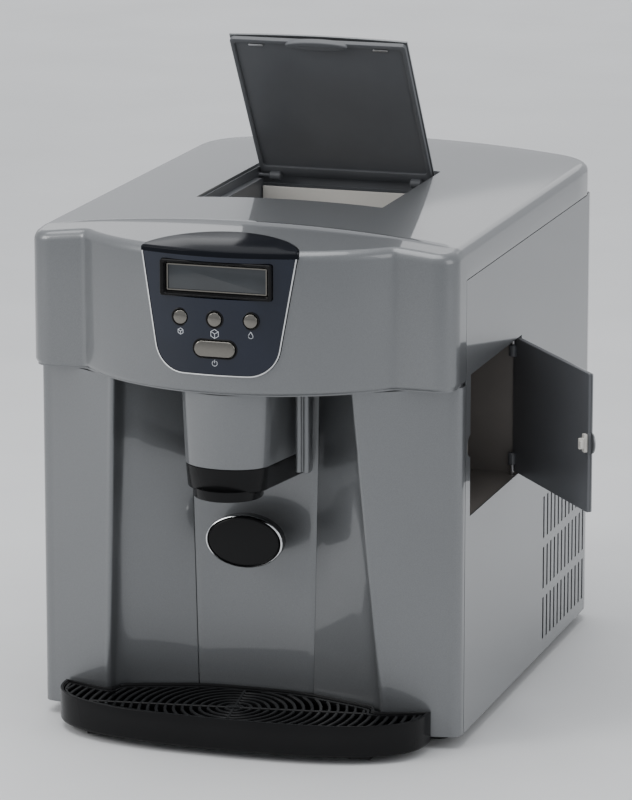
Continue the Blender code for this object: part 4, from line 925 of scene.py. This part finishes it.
def make_legends():
    z = BUTTON_Z - 0.0115
    line = 0.00036
    shape = bmesh.new()
    strokes = cube_icon(-BUTTON_SPACING, z, 0.0025) + cube_icon(0.0, z, 0.0036)
    drop = []
    for i in range(25):
        a = pi * (0.80 + 1.40 * i / 24)
        drop.append((BUTTON_SPACING + 0.0018 * cos(a), z - 0.0006 + 0.0018 * sin(a)))
    drop = [(BUTTON_SPACING, z + 0.0029)] + drop + [(BUTTON_SPACING, z + 0.0029)]
    strokes.append(drop)
    pz = POWER_Z - 0.0115
    strokes.append([(0.0021 * cos(a), pz + 0.0021 * sin(a))
                    for a in (radians(120 + 300 * k / 24) for k in range(25))])
    strokes.append([(0.0, pz + 0.0004), (0.0, pz + 0.0029)])
    for points in strokes:
        add_stroke(shape, points, line)
    piece = finish_piece("panel_legends", shape, "cream_plastic", "cabinet")
    paint(piece, INK)


# ---- dispenser ----------------------------------------------------------------------------------
def nozzle_outline(grow=0.0, back=NOZZLE_BACK_Y, steps=56):
    """D-shaped outline that bulges to the front, widens to the back and is flat there."""
    half = 0.0352 + grow
    points = [(half + 0.175 * (back - NOZZLE_Y), back)]
    for i in range(steps + 1):
        a = pi * i / steps
        points.append((half * cos(a), NOZZLE_Y - (0.0255 + grow) * sin(a)))
    return points + [(-points[0][0], back)]


def sleeve(shape, levels, wall=0.0025):
    rings = [[(x, y, z) for x, y in outline] for z, outline in levels]
    inner = [[(x, y, z) for x, y in inset(outline, wall)] for z, outline in reversed(levels)]
    add_loop(shape, rings + inner)


def throat_bore():
    tool = bmesh.new()
    add_turned(tool, [(THROAT_RADIUS, 0.20), (THROAT_RADIUS, 0.25)], (0.0, NOZZLE_Y, 0.0), sides=72)
    return tool


def make_nozzle():
    shroud = bmesh.new()
    foot = nozzle_outline()
    sleeve(shroud, [(SHROUD_LOW_Z, inset(foot, 0.0008)), (SHROUD_LOW_Z + 0.0002, inset(foot, 0.0003)),
                    (SHROUD_LOW_Z + 0.0008, foot), (0.2980, nozzle_outline(0.0026))])
    piece = finish_piece("nozzle_shroud_shell", shroud, "silver_paint", "cabinet", ["nozzle_shroud"])
    mouth = bmesh.new()
    add_box(mouth, (-0.0280, 0.005, 0.2450), (0.0280, 0.020, 0.31))
    boolean(piece, mouth)
    ring = bmesh.new()
    low = nozzle_outline(-0.0020)
    sleeve(ring, [(RING_LOW_Z, inset(low, 0.0014)), (RING_LOW_Z + 0.0003, inset(low, 0.0006)),
                  (RING_LOW_Z + 0.0011, low), (RING_TOP_Z, nozzle_outline(-0.0004))])
    add_turned(ring, [(THROAT_RADIUS, 0.2120), (0.0258, 0.2110), (0.0266, 0.2107), (0.0275, 0.2110),
                      (0.0280, 0.2118), (0.0280, 0.2190), (THROAT_RADIUS, 0.2190)],
               (0.0, NOZZLE_Y, 0.0), sides=72, closed_ring=True)
    finish_piece("nozzle_ring_shell", ring, "black_plastic", "cabinet", ["nozzle_ring"])
    plate = bmesh.new()
    add_prism(plate, inset(low, 0.0012), 0.2177, 0.2200)
    floor_plate = finish_piece("nozzle_floor", plate, "black_plastic", "cabinet")
    boolean(floor_plate, throat_bore())
    slope = bmesh.new()
    add_prism(slope, [(-0.0220, 0.2190), (0.0112, 0.2190), (0.0112, 0.2455), (0.0085, 0.2455)],
              -0.0300, 0.0300, "X")
    ramp = finish_piece("nozzle_ramp", slope, "black_plastic", "cabinet")
    boolean(ramp, throat_bore())
    spout = bmesh.new()
    for x in (SPOUT_X - 0.0031, SPOUT_X + 0.0031):
        pillow_prism(spout, rounded_rectangle(x - 0.0027, -0.0250, x + 0.0027, -0.0130, 0.0024, 6),
                     0.2985, 0.2268, 0.0006, 3)
    add_box(spout, (SPOUT_X - 0.0015, -0.0232, 0.2272), (SPOUT_X + 0.0015, -0.0140, 0.2985))
    finish_piece("water_spout_shell", spout, "silver_paint", "cabinet", ["water_spout"])


def make_paddle():
    y, front = PANEL_FACE_Y, PADDLE_FRONT_Y
    body = bmesh.new()
    pillow_prism(body, oval(0.0199), front + 0.0040, front, 0.0012, 5, axis="Y")
    pillow_prism(body, oval(0.0212), front + 0.0028, front + 0.0132, 0.0010, 4, axis="Y")
    add_box(body, (-0.0060, front + 0.0120, PADDLE_Z - 0.006), (0.0060, y + 0.0200, PADDLE_Z + 0.006))
    add_box(body, (-0.0060, y + 0.0170, PADDLE_Z - 0.006), (0.0060, y + 0.0200, PADDLE_Z + 0.052))
    add_turned(body, [(0.0027, -0.012), (0.0055, -0.012), (0.0055, 0.012), (0.0027, 0.012)],
               (0.0, *PADDLE_HINGE), "X", 32, closed_ring=True)
    finish_piece("paddle_body", body, "black_plastic", "paddle", ["dispense_paddle"])
    ring = bmesh.new()
    levels = [(0.0217, front + 0.0024), (0.0217, front + 0.0010), (0.0214, front + 0.0005),
              (0.0210, front + 0.0003), (0.0208, front + 0.0005), (0.0206, front + 0.0010),
              (0.0206, front + 0.0024)]
    add_loop(ring, [[(a, level, b) for a, b in oval(r)] for r, level in levels])
    finish_piece("paddle_chrome_ring", ring, "chrome", "paddle", ["paddle_ring"])


# ---- drip tray ----------------------------------------------------------------------------------
def tray_outline(shrink=0.0, steps=72):
    half = TRAY_HALF_WIDTH - shrink
    side_y = -0.0060 - shrink
    reach = side_y - TRAY_FRONT_Y - shrink
    power = 2 / 2.6
    points = []
    for i in range(steps + 1):
        c, s = cos(pi * i / steps), sin(pi * i / steps)
        x = -half * abs(c) ** power * (1 if c > 0 else -1)
        points.append((x, side_y - reach * abs(s) ** power))
    back = [(0.1260, -0.0160), (0.1130, -0.0168), (0.1085, -0.0050), (0.0960, 0.0010),
            (0.0700, 0.0095), (0.0470, 0.0162), (0.0220, 0.0188)]
    half_back = [(x - shrink * 0.6, y - shrink * 1.1) for x, y in back]
    mirrored = [(-x, y) for x, y in reversed(half_back)]
    return points + curve_through(half_back + mirrored)


def make_drip_tray():
    top, low = TRAY_TOP_Z, TRAY_BOTTOM_Z
    levels = [(0.0030, low), (0.0012, low + 0.0004), (0.0003, low + 0.0013), (0.0, low + 0.0028),
              (0.0, top - 0.0008), (0.0003, top - 0.0002), (0.0009, top), (0.0022, top),
              (0.0027, top - 0.0003), (0.0029, top - 0.0010), (0.0036, top - 0.0012),
              (0.0040, top - 0.0050), (0.0042, low + 0.0030)]
    shape = bmesh.new()
    skin(shape, [[(x, y, z) for x, y in tray_outline(shrink)] for shrink, z in levels])
    finish_piece("drip_tray_shell", shape, "black_plastic", "tray", ["drip_tray"])


def inside(outline, x, y):
    hit = False
    for (x0, y0), (x1, y1) in zip(outline, outline[1:] + outline[:1]):
        if (y0 > y) != (y1 > y) and x < (x1 - x0) * (y - y0) / (y1 - y0) + x0:
            hit = not hit
    return hit


def add_rib(shape, points, width, low, high):
    """A bar of rectangular section with eased top edges along points (x, y)."""
    ease = width * 0.22
    rings = []
    for i, (x, y) in enumerate(points):
        ahead = Vector(points[min(i + 1, len(points) - 1)]) - Vector(points[max(i - 1, 0)])
        ahead.normalize()
        side = Vector((-ahead.y, ahead.x))
        section = [(-width / 2, low), (-width / 2, high - ease), (-width / 2 + ease, high),
                   (width / 2 - ease, high), (width / 2, high - ease), (width / 2, low)]
        rings.append([(x + side.x * a, y + side.y * a, z) for a, z in section])
    skin(shape, rings)


def make_drip_grille():
    high, low = TRAY_TOP_Z - 0.0014, TRAY_TOP_Z - 0.0046
    centre = Vector((0.0, -0.0370))
    clip = tray_outline(0.0068, 48)
    shape = bmesh.new()
    pitch, width = 0.0070, 0.0030
    for k in range(1, 24):
        radius = pitch * k
        steps = max(24, int(ceil(2 * pi * radius / 0.0025)))
        run = []
        for i in range(steps + 1):
            a = 2 * pi * i / steps
            x, y = centre.x + radius * cos(a), centre.y + radius * sin(a)
            if inside(clip, x, y):
                run.append((x, y))
            if (not inside(clip, x, y) or i == steps) and run:
                if len(run) > 2:
                    add_rib(shape, run, width, low, high)
                run = []
    for angle in (0, 90, 180, 270):
        a = radians(angle + 8)
        points = []
        for i in range(80):
            r = 0.004 + 0.002 * i
            x, y = centre.x + r * cos(a), centre.y + r * sin(a)
            if not inside(clip, x, y):
                break
            points.append((x, y))
        if len(points) > 2:
            add_rib(shape, points, 0.0026, low + 0.0003, high + 0.0003)
    add_turned(shape, [(0.0050, low), (0.0050, high), (0.0042, high + 0.0004)], (*centre, 0.0), sides=32)
    outer, inner = tray_outline(0.0050, 72), tray_outline(0.0074, 72)
    add_loop(shape, [[(x, y, low) for x, y in outer], [(x, y, high) for x, y in outer],
                     [(x, y, high) for x, y in inner], [(x, y, low) for x, y in inner]])
    finish_piece("drip_grille_ribs", shape, "black_plastic", "grille", ["drip_grille"], sharp=30.0)


# ---- everything that keeps its CAD shape --------------------------------------------------------
def dress_cad_nodes():
    """Fine bevels and materials on the CAD pieces whose shape is already right."""
    slots = {entry["node"]: entry["material_slot"] for entry in frame["record"]["subparts"]}
    for name, node in frame["nodes"].items():
        paint(node, LOOKS[slots[name]])
        smooth(node.data, 35.0)
        change = node.modifiers.new("edges", "BEVEL")
        change.width = 0.0003
        change.segments = 2
        change.limit_method = "ANGLE"
        change.angle_limit = radians(40)


# ---- floor, light and camera --------------------------------------------------------------------
def plain_surface(name, colour, roughness):
    m = Nodes(name)
    mottle = m.noise(5.0, 5.0)
    m.link(m.ramp(mottle, shade(colour, 0.965), shade(colour, 1.02)), m.shader.inputs["Base Color"])
    m.link(m.spread(mottle, roughness * 0.92, roughness), m.shader.inputs["Roughness"])
    m.bump(m.noise(260.0, 5.0), 0.10, 0.0006)
    return m.material


def make_floor():
    shape = bmesh.new()
    reach = 14.0
    corners = [(-reach, -reach, 0.0), (reach, -reach, 0.0), (reach, reach, 0.0), (-reach, reach, 0.0)]
    shape.faces.new([shape.verts.new(corner) for corner in corners])
    mesh = bpy.data.meshes.new("floor")
    shape.to_mesh(mesh)
    shape.free()
    mesh.shade_smooth()
    mesh.materials.append(plain_surface("pale_floor", (0.74, 0.745, 0.75), 0.75))
    floor = bpy.data.objects.new("floor", mesh)
    bpy.context.collection.objects.link(floor)


def add_light(name, place, target, size, power, colour=(1.0, 1.0, 1.0), size_y=None):
    lamp = bpy.data.lights.new(name, "AREA")
    lamp.energy = power
    lamp.color = colour
    lamp.shape = "RECTANGLE"
    lamp.size = size
    lamp.size_y = size_y or size
    holder = bpy.data.objects.new(name, lamp)
    bpy.context.collection.objects.link(holder)
    holder.location = place
    holder.rotation_euler = (Vector(target) - Vector(place)).to_track_quat("-Z", "Y").to_euler()


def make_lights():
    world = bpy.data.worlds.new("studio")
    bpy.context.scene.world = world
    world.use_nodes = True
    world.node_tree.nodes["Background"].inputs["Color"].default_value = (0.78, 0.80, 0.83, 1.0)
    world.node_tree.nodes["Background"].inputs["Strength"].default_value = 0.86
    add_light("overhead", (-0.3, -0.2, 2.4), (0.0, 0.0, 0.2), 2.0, 36.0)
    add_light("left_front", (-1.9, -1.7, 1.5), (0.0, 0.0, 0.25), 1.2, 24.0, (1.0, 0.99, 0.97))
    add_light("backdrop", (-1.4, 4.2, 1.8), (-1.4, 4.2, 0.0), 4.5, 34.0, size_y=3.0)
    add_light("right_fill", (2.2, -0.4, 1.1), (0.1, 0.0, 0.2), 1.3, 10.0)


def make_camera():
    lens = bpy.data.cameras.new("camera")
    lens.lens = 211.3
    lens.sensor_width = 36.0
    lens.sensor_fit = "AUTO"
    lens.clip_end = 50.0
    camera = bpy.data.objects.new("camera", lens)
    bpy.context.collection.objects.link(camera)
    camera.location = ORIGIN + Vector((1.157, -3.484, 1.1308))
    camera.rotation_euler = (radians(90 - 13.09), 0.0, radians(17.515))
    bpy.context.scene.camera = camera


make_camera()
make_floor()
make_lights()
dress_cad_nodes()
make_top_cover()
make_fascia()
make_dispense_panel()
make_lid()
make_bin_collar()
make_side_door()
make_bezel()
make_display()
make_buttons()
make_legends()
make_nozzle()
make_paddle()
make_drip_tray()
make_drip_grille()
